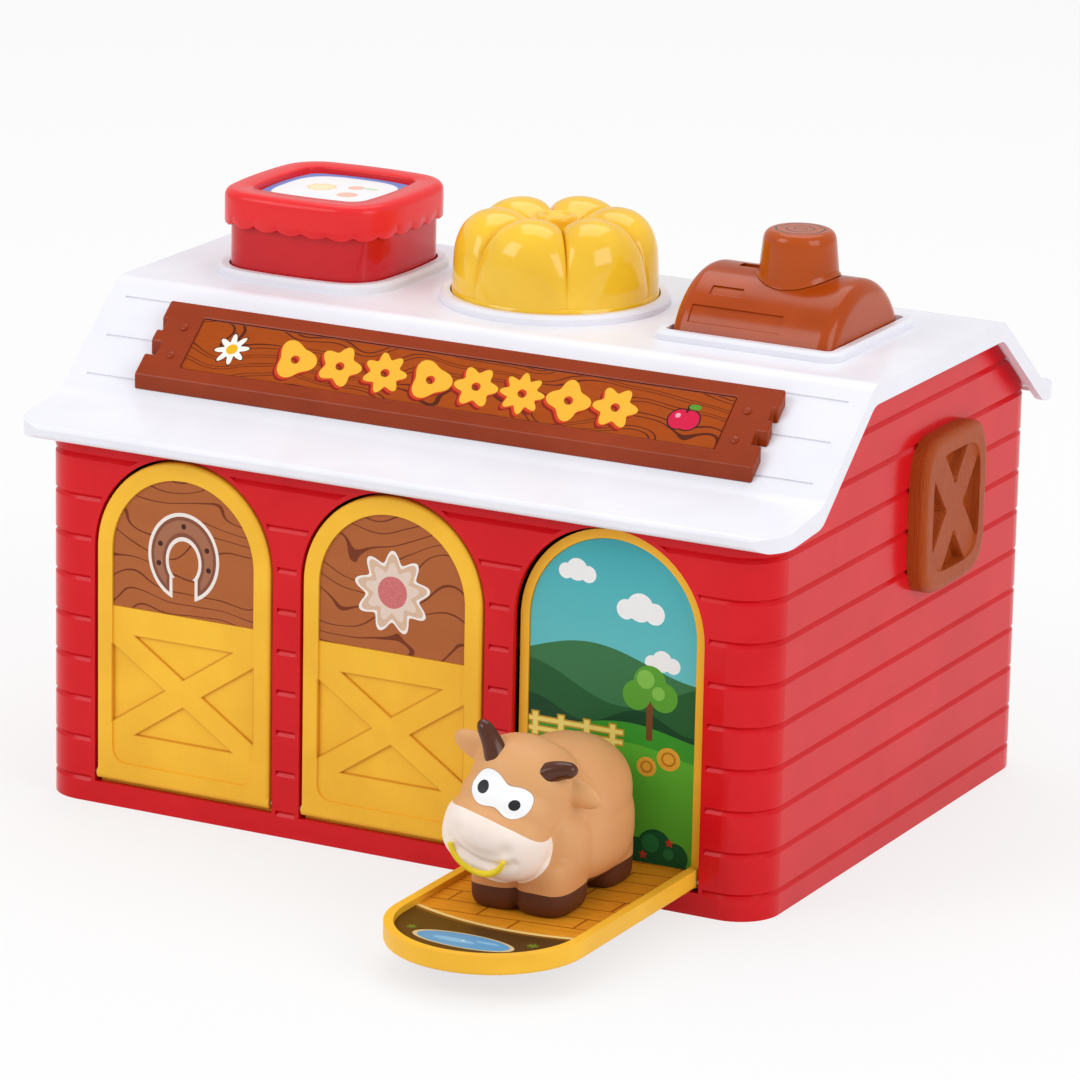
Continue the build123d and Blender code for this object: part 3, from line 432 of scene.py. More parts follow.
class Graph:
    """The nodes of one material."""

    def __init__(self, owner: bpy.types.Material | bpy.types.World) -> None:
        """Empty the nodes of a material or a surround.

        Args:
            owner: the material or the surround.
        """
        self.material = owner
        owner.use_nodes = True
        self.tree = owner.node_tree
        self.tree.nodes.clear()

    @classmethod
    def fresh(cls, name: str) -> "Graph":
        """The nodes of a new material."""
        return cls(bpy.data.materials.new(name))

    def node(self, kind: str, settings: dict[str, object], inputs: dict[object, object]) -> bpy.types.Node:
        """One node.

        Args:
            kind: the node's type.
            settings: its properties, which are set first.
            inputs: a value or a link for each named or numbered socket.

        Returns:
            The node.
        """
        made = self.tree.nodes.new(kind)
        for name, setting in settings.items():
            setattr(made, name, setting)
        for name, given in inputs.items():
            link = given.socket if isinstance(given, Value) else given
            if isinstance(link, Socket):
                self.tree.links.new(link, made.inputs[name])
            else:
                made.inputs[name].default_value = link
        return made

    def place(self) -> Socket:
        """The place on the object, in millimetres."""
        found = self.node("ShaderNodeTexCoord", {}, {}).outputs["Object"]
        return self.scaled(found, (1 / MM, 1 / MM, 1 / MM))

    def own_place(self) -> Socket:
        """The place in the piece's own frame, in millimetres."""
        return self.node("ShaderNodeAttribute", {"attribute_name": "own"}, {}).outputs["Vector"]

    def scaled(self, vector: Socket, sizes: Triple) -> Socket:
        """A vector times three numbers."""
        return self.node("ShaderNodeVectorMath", {"operation": "MULTIPLY"}, {0: vector, 1: sizes}).outputs[0]

    def along(self, vector: Socket, axis: Triple, start: float = 0.0) -> Value:
        """How far a place lies along an axis, from a start."""
        dot = self.node("ShaderNodeVectorMath", {"operation": "DOT_PRODUCT"}, {0: vector, 1: axis})
        return Value(self, dot.outputs["Value"]) - start

    def joined(self, x: Value, y: Value) -> Socket:
        """A vector from two values."""
        return self.node("ShaderNodeCombineXYZ", {}, {0: x, 1: y}).outputs[0]

    def noise(self, vector: Socket, scale: float, detail: float = 2.0, warp: float = 0.0) -> Value:
        """Soft noise from 0 to 1 with so many waves a millimetre, finer layers and a warp by itself."""
        inputs = {"Vector": vector, "Scale": scale, "Detail": detail, "Distortion": warp}
        return Value(self, self.node("ShaderNodeTexNoise", {}, inputs).outputs[0])

    def mixed(self, share: "Value | float", *inks: object) -> Socket:
        """The first of two inks turning into the second: each is a link, a linear colour or a code."""
        first, second = (paint(ink) if isinstance(ink, str) else ink for ink in inks)
        return self.node("ShaderNodeMix", {"data_type": "RGBA"}, {0: share, 6: first, 7: second}).outputs[2]

    def layered(self, ground: object, layers: list[tuple[Value, object]]) -> Socket:
        """Colours laid over each other.

        Args:
            ground: the lowest colour.
            layers: a cover from 0 to 1 and a colour for each layer, from the lowest up.

        Returns:
            The colour that shows.
        """
        colour = ground
        for cover, layer in layers:
            colour = self.mixed(cover, colour, layer)
        return colour

    def shaded(self, colour: Socket, roughness: "Value | float", height: Value, relief: float,
               settings: dict[str, object]) -> None:
        """Finish the material with its surface.

        Args:
            colour: the base colour.
            roughness: from a mirror's 0 to chalk's 1.
            height: the relief from 0 to 1.
            relief: how deep the relief is, in millimetres.
            settings: other numbers of the surface, by socket name.
        """
        bump = self.node("ShaderNodeBump", {}, {"Strength": 1.0, "Distance": relief * MM, "Height": height})
        surface = self.node("ShaderNodeBsdfPrincipled", {},
                            {"Base Color": colour, "Roughness": roughness, "Normal": bump.outputs[0],
                             **settings})
        self.node("ShaderNodeOutputMaterial", {}, {"Surface": surface.outputs[0]})


Layers = list[tuple[Value, object]]
Inks = tuple[object, Layers]


class Canvas:
    """Flat shapes on a print, each given by its distance: less than nothing inside, in millimetres."""

    def __init__(self, graph: Graph, u: Value, v: Value) -> None:
        """Keep the two directions of the sheet."""
        self.graph, self.u, self.v = graph, u, v

    def disc(self, x: float, y: float, radius: float, tall: float = 1.0) -> Value:
        """A round, or an ellipse that is so many times as tall as wide."""
        across, up = self.u - x, (self.v - y) / tall
        return (across * across + up * up) ** 0.5 - radius

    def puff(self, x: float, y: float, size: float) -> Value:
        """A cloud or a bush: three rounds on a line."""
        return (self.disc(x, y, size) | self.disc(x - 1.05 * size, y - 0.25 * size, 0.7 * size)
                | self.disc(x + 1.1 * size, y - 0.3 * size, 0.75 * size))

    def block(self, x0: float, x1: float, y0: float, y1: float) -> Value:
        """An upright rectangle between two corners."""
        return ((abs(self.u - (x0 + x1) / 2) - (x1 - x0) / 2)
                & (abs(self.v - (y0 + y1) / 2) - (y1 - y0) / 2))

    def petals(self, x: float, y: float, radius: float, count: "Value | float", depth: float,
               turn: float = 0.0) -> Value:
        """A round whose edge waves in and out.

        Args:
            x: its middle across.
            y: its middle up.
            radius: its radius between the waves.
            count: how many waves it has.
            depth: how far a wave goes in and out.
            turn: where the first wave starts, in radians.

        Returns:
            The distance from its edge.
        """
        across, up = self.u - x, self.v - y
        angle = up.maths("ARCTAN2", across)
        wave = (angle * count + turn).sine()
        return (across * across + up * up) ** 0.5 - (wave * depth + radius)

    def below(self, height: float, swing: float, length: float, start: float) -> Value:
        """Everything under a wavy line."""
        return self.v - ((self.u / length + start).sine() * swing + height)

    def repeated(self, shape: Callable[..., Value], places: Places) -> Value:
        """One kind of shape at several places, each given by its numbers."""
        return reduce(or_, (shape(*place) for place in places))

    def ring_lines(self, pitch: float, swirl: float, thin: float, seed: float, double: bool = False) -> Value:
        """Wood rings: lines of equal value of the height plus soft noise.

        Args:
            pitch: the height from ring to ring.
            swirl: how far the noise bends them.
            thin: the share of the pitch that half a line takes.
            seed: where the noise is read.
            double: whether the lines come in pairs.

        Returns:
            1 on a line and 0 off it.
        """
        place = self.graph.joined(self.u + seed, self.v * 1.7 + seed)
        flow = self.v / pitch + self.graph.noise(place, 0.032, 0.5) * swirl
        phase = abs(flow.fraction() - 0.5)
        return (abs(phase - 0.13) if double else phase) < thin


@dataclass(frozen=True)
class Finish:
    """A named finish, whose material is made when it is first asked for."""

    name: str

    def material(self) -> bpy.types.Material:
        """The finish as a material, made once.

        Returns:
            The material.
        """
        if self.name not in bpy.data.materials:
            self.fill(Graph.fresh(self.name))
        return bpy.data.materials[self.name]

    def fill(self, graph: Graph) -> None:
        """Add the material's nodes, which each kind of finish does in its own way."""
        raise NotImplementedError


@dataclass(frozen=True)
class Plastic(Finish):
    """Moulded plastic: its colour drifts a little as the melt flowed, and its gloss is broken by handling."""

    code: str
    roughness: float = 0.3
    drift: float = 0.05
    relief: float = 0.01
    grain: Triple | None = None
    grain_depth: float = 0.06
    streaks: float = 0.5
    shine: float = 0.16
    flow_scale: float = 0.035
    handling_scale: float = 0.09

    def tinted(self, share: float, lift: float = 0.0) -> Colour:
        """The colour made so many times as bright and lifted, with full cover."""
        return (*(min(1.0, part * share + lift) for part in paint(self.code)[:3]), 1.0)

    def painted_shade(self, graph: Graph, base: Socket) -> Socket:
        """The base colour with painted shade over it, which is none on plain plastic."""
        return base

    def fill(self, graph: Graph) -> None:
        """Add the material's nodes.

        Args:
            graph: the material's nodes.
        """
        place = graph.place()
        flow = graph.noise(place, self.flow_scale, 2.0, 0.6)
        handled = graph.noise(place, self.handling_scale, 1.0)
        darker, lighter = self.tinted(1 - 2 * self.drift), self.tinted(1 + self.drift, 0.004)
        base = graph.mixed((flow - 0.3) * 2.2, darker, lighter)
        # painted shade, where a finish adds any
        base = self.painted_shade(graph, base)
        rough = self.roughness + (handled - 0.5) * 0.04 + (flow - 0.5) * 0.03
        height, relief = flow, self.relief
        if self.grain:
            fine = graph.noise(graph.scaled(place, self.grain), 1.0, 5.0)
            broad = graph.noise(graph.scaled(place, tuple(size * 0.3 for size in self.grain)), 1.0, 2.0)
            streak = ((fine - 0.42) * 5.0).held()
            dark = self.tinted(0.82)
            base = graph.mixed((1 - streak) * self.streaks, base, dark)
            base = graph.mixed(broad * 0.05, base, dark)
            rough = rough + (1 - streak) * 0.08
            height, relief = streak, self.grain_depth
        graph.shaded(base, rough.held(), height, relief, {"IOR": 1.5, "Specular IOR Level": self.shine})


@dataclass(frozen=True)
class BracedPlastic(Plastic):
    """A door's plastic, with painted shade along the edges of the hollows between its crossed braces."""

    middle: tuple[float, float] = (0.0, 0.0)
    up: Triple = (0.0, 0.0, 1.0)
    half: tuple[float, float] = (20.0, 16.6)
    arm: float = 8.2
    gap: float = 4.6
    line: float = 0.3

    def painted_shade(self, graph: Graph, base: Socket) -> Socket:
        """The base colour with a thin line of painted shade along each hollow's edge, where the recess edges
        fall in shadow. A hollow is where the place lies beyond both the frame's straight edge and the slope
        of the arms next to it.

        Args:
            graph: the material's nodes.
            base: the colour without the lines of painted shade.

        Returns:
            The colour with them.
        """
        place = graph.place()
        aside = abs(graph.along(place, (1.0, 0.0, 0.0), self.middle[0]))
        rise = abs(graph.along(place, self.up, self.middle[1]))
        slope = (self.half[1] - self.gap) / (self.half[0] - self.arm)
        length = sqrt(1 + slope ** 2)
        arms = (aside * slope + self.gap - rise) / length
        facing = (aside * slope - self.gap - rise) / length
        hollows = ((rise - self.half[1]) & arms) | ((aside - self.half[0]) & (facing * -1.0))
        # painted shade: a thin darker line along the hollows' edges, standing in for the shadows there
        return graph.mixed((abs(hollows) < self.line) * 0.6, base, "D08414")


@dataclass(frozen=True)
class StumpPlastic(Plastic):
    """The stump's plastic with growth rings drawn on its top."""

    centre: tuple[float, float] = (0.0, 0.0)
    top: float = 0.0
    dark: str = "AC4404"
    ring_line: str = "2A120A"
    rings: Places = ((7.6, 0.32), (4.4, 0.3), (1.9, 0.28))

    def fill(self, graph: Graph) -> None:
        """Add the material's nodes. A ring is where the distance from the middle, bent by noise, is near its
        own.

        Args:
            graph: the material's nodes.
        """
        place = graph.place()
        across = graph.along(place, (1.0, 0.0, 0.0), self.centre[0])
        along = graph.along(place, (0.0, 1.0, 0.0), self.centre[1])
        height = graph.along(place, (0.0, 0.0, 1.0))
        swirl = graph.noise(place, 0.16, 1.0)
        radius = (across * across + along * along) ** 0.5 + (swirl - 0.5) * 3.2
        first, second, third = (abs(radius - ring) < half for ring, half in self.rings)
        flow = graph.noise(place, self.flow_scale, 2.0, 0.6)
        base = graph.mixed(flow, self.dark, self.code)
        drawn = (first + second + third).held() * (height > self.top - 1.0)
        colour = graph.mixed(drawn, base, self.ring_line)
        rough = self.roughness + (graph.noise(place, self.handling_scale, 1.0) - 0.5) * 0.04
        graph.shaded(colour, rough, flow, self.relief, {"Specular IOR Level": self.shine})


@dataclass(frozen=True)
class Steel(Finish):
    """Bright drawn steel with fine turning marks."""

    def fill(self, graph: Graph) -> None:
        """Add the material's nodes.

        Args:
            graph: the material's nodes.
        """
        place = graph.place()
        marks = graph.noise(graph.scaled(place, (0.2, 4.0, 4.0)), 1.0, 4.0)
        tarnish = graph.noise(place, 0.12, 3.0)
        colour = graph.mixed(tarnish, "C9CBCE", "9C9FA3")
        graph.shaded(colour, 0.24 + marks * 0.16, marks, 0.02, {"Metallic": 1.0})


# Prints

class Art(Enum):
    """What a door's print shows. Each value is the place where the board's grain is read."""

    RING = 11.0
    BLOOM = 57.0
    SHEAF = 93.0


@dataclass(frozen=True)
class Sheet(Finish):
    """A printed sheet: where its two directions start and run, and the paper's gloss."""

    origin: Triple
    across: Triple = (1.0, 0.0, 0.0)
    up: Triple = (0.0, 0.0, 1.0)
    roughness: float = 0.32

    def fill(self, graph: Graph) -> None:
        """Add the material's nodes: the inks on a lightly pebbled, varnished sheet.

        Args:
            graph: the material's nodes.
        """
        place = graph.place()
        u, v = (graph.along(place, axis, float(np.dot(self.origin, axis))) for axis in (self.across, self.up))
        colour = graph.layered(*self.inks(Canvas(graph, u, v)))
        fibre = graph.noise(place, 1.4, 3.0)
        wave = graph.noise(place, 0.05, 1.0)
        inked = graph.mixed((fibre - 0.5) * 0.12 + 0.03, colour, (0.0, 0.0, 0.0, 1.0))
        graph.shaded(inked, self.roughness + (fibre - 0.5) * 0.12, fibre * 0.25 + wave * 0.75, 0.02,
                     {"IOR": 1.5, "Specular IOR Level": 0.12})

    def inks(self, canvas: Canvas) -> Inks:
        """The print's lowest ink and the layers over it, which each kind of print draws in its own way."""
        raise NotImplementedError


@dataclass(frozen=True)
class BoardPrint(Sheet):
    """A wood board with one large emblem, outlined in white."""

    art: Art = Art.RING
    middle: float = 19.5
    outline: float = 1.1

    def ring(self, canvas: Canvas) -> Layers:
        """A horseshoe: a tall round less a smaller one and the gap at its foot, with five nail holes.

        Args:
            canvas: the print's canvas.

        Returns:
            Its layers.
        """
        middle, edge = self.middle, self.outline
        outer, inner = canvas.disc(0.0, middle, 12.0, 1.12), canvas.disc(0.0, middle - 1.5, 6.6, 1.25)
        gap = canvas.block(-5.2, 5.2, middle - 18.0, middle - 6.0)
        shoe = outer & (inner * -1.0) & (gap * -1.0)
        spots = ((-8.6, 3.5), (8.6, 3.5), (-9.2, -3.0), (9.2, -3.0), (0.0, 10.2))
        holes = canvas.repeated(canvas.disc, tuple((x, middle + y, 0.9) for x, y in spots))
        return [(shoe < edge, "F3ECE4"), (shoe < 0.0, "8A5440"), (shoe < -edge, "A86F54"),
                (holes < 0.0, "4A2A22")]

    def bloom(self, canvas: Canvas) -> Layers:
        """A nine-petalled flower with a seeded heart.

        Args:
            canvas: the print's canvas.

        Returns:
            Its layers.
        """
        outer, inner = (canvas.petals(0.0, self.middle, radius, 9.0, depth) for radius, depth in
                        ((10.6, 1.9), (8.2, 1.5)))
        heart = canvas.disc(0.0, self.middle, 5.2)
        seeds = canvas.graph.noise(canvas.graph.joined(canvas.u, canvas.v), 1.1, 1.0)
        return [(outer < self.outline, "F6F1EC"), (outer < 0.0, "DDBBA0"), (inner < 0.0, "E9D3C4"),
                (heart < 0.0, canvas.graph.mixed(seeds, "E08A86", "C45A62"))]

    def sheaf(self, canvas: Canvas) -> Layers:
        """Five ears on their stalks, tied with a band.

        Args:
            canvas: the print's canvas.

        Returns:
            Its layers.
        """
        middle = self.middle
        heads = ((0.0, 7.0, 3.0, 1.7), (-6.0, 4.0, 2.8, 1.7), (6.0, 4.0, 2.8, 1.7), (-3.4, -2.0, 1.7, 3.2),
                 (3.4, -2.0, 1.7, 3.2))
        ears = canvas.repeated(canvas.disc, tuple((x, middle + y, *size) for x, y, *size in heads))
        ears = ears | canvas.block(-1.2, 1.2, middle - 11.0, middle + 4.0)
        band = canvas.block(-4.6, 4.6, middle - 5.0, middle - 2.6)
        return [(ears < self.outline, "F6F1EC"), (ears < 0.0, "E2B04A"), (band < 0.0, "B4413A")]

    def inks(self, canvas: Canvas) -> Inks:
        """The lowest ink, and the layers over it.

        Args:
            canvas: the print's canvas.

        Returns:
            The two.
        """
        graph = canvas.graph
        lines = canvas.ring_lines(6.4, 6.0, 0.05, self.art.value)
        grain = graph.noise(graph.joined(canvas.u * 0.2, canvas.v), 0.12, 1.0)
        emblem = {Art.RING: self.ring, Art.BLOOM: self.bloom, Art.SHEAF: self.sheaf}[self.art](canvas)
        return graph.mixed(grain, "B86B3C", "AB6034"), [(lines, "7A3A22"), *emblem]


@dataclass(frozen=True)
class CountryPrint(Sheet):
    """A country view: sky, clouds, hills, a round tree, bales, a fence, a lane and bushes. Its places are
    measured across from the sheet's middle and up from its foot."""

    shift: float = 0.0
    clouds: Places = ((9.0, 84.0, 4.6), (-13.0, 93.0, 3.6), (17.0, 68.0, 3.4))
    crown: Places = ((13.0, 60.5, 5.6), (8.5, 56.0, 4.8), (17.8, 56.5, 4.8))
    crown_light: Places = ((11.5, 61.5, 3.0), (16.0, 57.5, 2.2))
    trunk: tuple[float, float, float, float] = (12.0, 14.2, 42.0, 56.0)
    post_pitch: float = 9.0
    post_middle: float = 41.5
    rails: tuple[float, float] = (43.0, 39.8)
    fence_end: float = 4.0
    bales: Places = ((20.0, 37.0, 4.0, 0.92), (12.5, 33.5, 3.4, 0.92))
    bale_marks: Places = ((20.0, 37.0, 2.2, 0.92), (12.5, 33.5, 1.8, 0.92))
    bushes: Places = ((16.0, 7.5, 6.2), (-18.0, 5.0, 5.4))
    bush_light: Places = ((14.5, 9.0, 3.0), (20.8, 6.4, 1.8), (-19.0, 6.8, 2.6))
    flowers: Places = ((12.0, 5.0), (21.0, 10.0), (-14.0, 4.0))

    def land(self, canvas: Canvas) -> Layers:
        """Clouds, hills, the meadow and the lane through it.

        Args:
            canvas: the print's canvas.

        Returns:
            Their layers.
        """
        v, start = canvas.v, self.shift
        clouds = canvas.repeated(canvas.puff, self.clouds)
        far, near = canvas.below(66.0, 4.5, 13.0, start + 2.2), canvas.below(57.0, 5.5, 11.0, start + 4.4)
        wood, meadow = canvas.below(48.0, 3.0, 6.0, start), canvas.below(38.0, 2.2, 10.0, start + 1.0)
        lane = abs(canvas.u + (v - 20.0) * 0.55 + (v / 7.0).sine() * 3.5) - (30.0 - v) * 0.16 - 3.0
        lane = lane & (v - 34.0)
        return [(clouds < 0.0, "F4F7F7"), (far < 0.0, "3F7A4E"), (near < 0.0, "2B6238"),
                (wood < 0.0, "1F4A2E"), (meadow < 6.5, "3F9A32"), (meadow < 0.0, "5CB034"),
                (lane < 0.0, "F2CE45")]

    def farm(self, canvas: Canvas) -> Layers:
        """The tree, the fence, the bales, and the bushes with their flowers.

        Args:
            canvas: the print's canvas.

        Returns:
            Their layers.
        """
        u, v, pitch = canvas.u, canvas.v, self.post_pitch
        crown, light = (canvas.repeated(canvas.disc, places) for places in (self.crown, self.crown_light))
        post = (abs(((u + 40.0) / pitch).fraction() - 0.5) * pitch - 0.9) & (abs(v - self.post_middle) - 3.6)
        top, low = (abs(v - height) - 0.65 for height in self.rails)
        fence = (post | top | low) & (u - self.fence_end)
        bales = canvas.repeated(canvas.disc, self.bales)
        marks = reduce(or_, (abs(canvas.disc(*place)) for place in self.bale_marks))
        bushes = canvas.repeated(canvas.puff, self.bushes) | canvas.below(2.6, 1.0, 4.0, 0.0)
        leaves = canvas.repeated(canvas.disc, self.bush_light)
        flowers = canvas.repeated(canvas.petals, tuple((x, y, 1.1, 5.0, 0.35) for x, y in self.flowers))
        return [(canvas.block(*self.trunk) < 0.0, "7A4A2B"), (crown < 0.0, "5EA53A"), (light < 0.0, "86C455"),
                (fence < 0.5, "C79A32"), (fence < 0.0, "F7E27A"), (bales < 0.0, "E3A63A"),
                ((marks - 0.35) < 0.0, "B67A22"), (bushes < 0.0, "1F5B33"), (leaves < 0.0, "2F7A43"),
                (flowers < 0.0, "C8402F")]

    def inks(self, canvas: Canvas) -> Inks:
        """The sky, and the layers over it."""
        sky = canvas.graph.mixed(((canvas.v - 58.0) / 46.0).held(), "6CC8CC", "47AFB8")
        return sky, self.land(canvas) + self.farm(canvas)


@dataclass(frozen=True)
class GroundPrint(Sheet):
    """What a figure stands on: floor planks, then dark earth with an oval pond. Its places are measured
    across from the sheet's middle and out from the hinge."""

    plank: float = 9.5
    plank_length: float = 31.0
    plank_step: float = 17.0
    edge: tuple[float, float, float] = (4.0, -6.0, 82.0)
    pond: tuple[float, float, float, float] = (-1.0, 90.5, 15.5, 0.36)
    ripples: Places = ((-4.0, 91.0, 7.0, 0.22), (6.5, 89.0, 4.0, 0.22))
    stone: tuple[float, ...] = (-1.0, 90.5, 0.5, 6.0, 0.1)
    tufts: Places = ((19.0, 84.0, 1.5, 7.0, 0.6), (-20.5, 87.0, 1.3, 7.0, 0.5))

    def inks(self, canvas: Canvas) -> Inks:
        """The lowest ink, and the layers over it.

        Args:
            canvas: the print's canvas.

        Returns:
            The two.
        """
        graph, u, out = canvas.graph, canvas.u, canvas.v
        planks = graph.mixed(graph.noise(graph.joined(u * 0.25, out * 1.6), 0.6, 4.0), "F0A52C", "DE8A1C")
        plank = (out + u * 0.12) / self.plank
        joint = abs(plank.fraction() - 0.5) > 0.465
        ends = abs(((u + plank.whole() * self.plank_step) / self.plank_length).fraction() - 0.5) > 0.488
        rings = canvas.ring_lines(4.0, 3.4, 0.05, 31.0)
        edge, pond = canvas.disc(*self.edge), canvas.disc(*self.pond)
        earth = graph.mixed(graph.noise(graph.joined(u, out), 0.12, 3.0), "4A3010", "5C3D14")
        ripple = canvas.repeated(canvas.disc, self.ripples)
        return planks, [
            (rings, "D98A1E"), (joint, "A85C10"), (ends, "A85C10"), (edge > -1.6, "F6D78A"),
            (edge > 0.0, "8A5A1C"), (edge > 1.4, earth), (pond < 1.5, "D9C48C"), (pond < 0.0, "5E9FCB"),
            (ripple < 0.0, "86BEDF"), (canvas.petals(*self.stone) < 0.0, "D9E8EE"),
            (canvas.repeated(canvas.petals, self.tufts) < 0.0, "6A7F2A")]


@dataclass(frozen=True)
class SignPrint(Sheet):
    """A carved-looking board with a row of golden emblems over a red drop shade, and a motif at each end."""

    pitch: float = 16.4
    reach: float = 65.6
    slant: float = 0.18
    radius: float = 6.6
    wave: float = 1.3
    hole: float = 1.6
    shades: Places = ((-1.3, -1.7), (-0.7, -0.9), (0.0, 0.0))
    daisy: tuple[float, float] = (-81.0, 0.3)
    cherry: Places = ((80.0, -0.7, 3.7), (83.0, -0.7, 3.7))
    leaf: tuple[float, float, float, float] = (83.6, 4.4, 2.1, 0.5)
    stalk: tuple[float, float, float, float] = (81.1, 81.9, 2.0, 5.2)
    glint: tuple[float, float, float] = (79.0, 0.6, 0.9)

    def emblems(self, canvas: Canvas, shift: tuple[float, float]) -> Value:
        """The row of emblems: waved rounds whose petal count changes from place to place.

        Args:
            canvas: the print's canvas.
            shift: how far the row is moved.

        Returns:
            The distance from their edges.
        """
        u = canvas.u + canvas.v * self.slant - shift[0]
        place = ((u + self.reach) / self.pitch).whole()
        middle = (place + 0.5) * self.pitch - self.reach
        moved = Canvas(canvas.graph, u - middle, canvas.v - shift[1])
        count = 3.0 + (place * 0.377).fraction() * 6.0
        shape = moved.petals(0.0, 0.0, self.radius, count.whole(), self.wave, pi / 2)
        return (shape & (moved.disc(0.0, 0.0, self.hole) * -1.0)) & (abs(u) - self.reach)

    def inks(self, canvas: Canvas) -> Inks:
        """The lowest ink, and the layers over it.

        Args:
            canvas: the print's canvas.

        Returns:
            The two.
        """
        graph = canvas.graph
        grain = graph.noise(graph.joined(canvas.u * 0.12, canvas.v), 0.9, 4.0)
        board = graph.mixed(grain, "B4500F", "9C420E")
        lines = canvas.ring_lines(5.2, 4.6, 0.035, 7.0, double=True)
        far, near, face = (self.emblems(canvas, shift) for shift in self.shades)
        daisy, heart = canvas.petals(*self.daisy, 4.6, 8.0, 1.5), canvas.disc(*self.daisy, 2.0)
        fruit = canvas.repeated(canvas.disc, self.cherry)
        leaf, stalk, glint = canvas.disc(*self.leaf), canvas.block(*self.stalk), canvas.disc(*self.glint)
        return board, [
            (lines, "5B2413"), (far < 0.0, "8E2114"), (near < 0.0, "D2431C"), (face < 0.0, "F6B93B"),
            (daisy < 0.5, "3A2016"), (daisy < 0.0, "F7F4EC"), (heart < 0.0, "F2B61F"),
            (fruit < 0.5, "3A2016"), (fruit < 0.0, "D81F4A"), (glint < 0.0, "F4A3B5"),
            (stalk < 0.0, "3A2016"), (leaf < 0.0, "5A9A33")]


@dataclass(frozen=True)
class LidPrint(Sheet):
    """A white label with a blue edge and a few faint fruits."""

    half: float = 21.0
    border: float = 2.4
    squareness: float = 3.2
    citrus: tuple[float, ...] = (-6.0, 2.0, 5.0, 8.0, 0.5)
    berries: Places = ((7.0, -4.0, 3.6), (4.5, 6.5, 2.8))
    leaf: tuple[float, ...] = (9.5, 7.5, 2.8, 0.45)

    def inks(self, canvas: Canvas) -> Inks:
        """The lowest ink, and the layers over it. The blue edge is where both sizes, raised to a power, add
        up to a limit.

        Args:
            canvas: the print's canvas.

        Returns:
            The two.
        """
        power = self.squareness
        edge = (abs(canvas.u) ** power + abs(canvas.v) ** power) ** (1 / power) - (self.half - self.border)
        citrus, leaf = canvas.petals(*self.citrus), canvas.disc(*self.leaf)
        berries = canvas.repeated(canvas.disc, self.berries)
        return "F5F6F8", [
            (citrus < 0.0, "F9DDA8"), (citrus < -1.2, "FCEBC4"), (berries < 0.0, "F5C3B2"),
            (leaf < 0.0, "CBE3BA"), (edge > 0.0, "6E93D6")]


# Figures' paint

@dataclass(frozen=True)
class Vinyl(Finish):
    """Soft matt vinyl that turns darker towards the bottom, with painted hooves, in the figure's own frame.
    """

    code: str
    shade: str
    hoof: str
    hoof_top: float = 7.6
    shade_top: float = 26.0
    roughness: float = 0.5

    def painted(self, graph: Graph, ground: Socket) -> Socket:
        """What is painted over the body colour, which is nothing on a plain figure."""
        return ground

    def fill(self, graph: Graph) -> None:
        """Add the material's nodes: the shade fades out with the height and with soft noise.

        Args:
            graph: the material's nodes.
        """
        own = graph.own_place()
        height = graph.along(own, (0.0, 0.0, 1.0))
        cloudy = graph.noise(own, 0.07, 3.0)
        # the body colour turns darker towards the bottom of the figure, broken up by soft noise
        darker_low = ((self.shade_top - height) / self.shade_top).held() * 0.5 + (cloudy - 0.5) * 0.35
        body = graph.mixed(darker_low.held(), self.code, self.shade)
        edge = height - (graph.noise(own, 0.06, 1.0) - 0.5) * 1.5
        colour = self.painted(graph, graph.mixed(edge < self.hoof_top, body, self.hoof))
        fine = graph.noise(own, 1.3, 3.0)
        graph.shaded(colour, self.roughness + (fine - 0.5) * 0.14, fine, 0.03, {"IOR": 1.46})


@dataclass(frozen=True)
class Head:
    """A head's own frame inside its figure: where its centre is and how far it leans to one side."""

    centre: Triple
    lean: float = 0.0

    def turn(self) -> Matrix:
        """The lean as a matrix."""
        return Matrix.Rotation(radians(self.lean), 3, "Y")

    def at(self, place: Triple) -> Triple:
        """A place of the head's frame in the figure's frame."""
        return tuple(Vector(self.centre) + self.turn() @ Vector(place))

    def placed(self, patch: Patch) -> Patch:
        """A patch of the head's frame in the figure's frame."""
        return patch.turned("Y", self.lean).moved(self.centre)

    def axes(self, graph: Graph) -> tuple[Value, Value, Value]:
        """How far a point of the figure lies from the head's centre.

        Args:
            graph: the material's nodes.

        Returns:
            The distances across, forward and up.
        """
        own, centre = graph.own_place(), Vector(self.centre)
        across, up = self.turn() @ Vector((1, 0, 0)), self.turn() @ Vector((0, 0, 1))
        return (graph.along(own, tuple(across), across.dot(centre)),
                graph.along(own, (0.0, -1.0, 0.0), -centre.y),
                graph.along(own, tuple(up), up.dot(centre)))


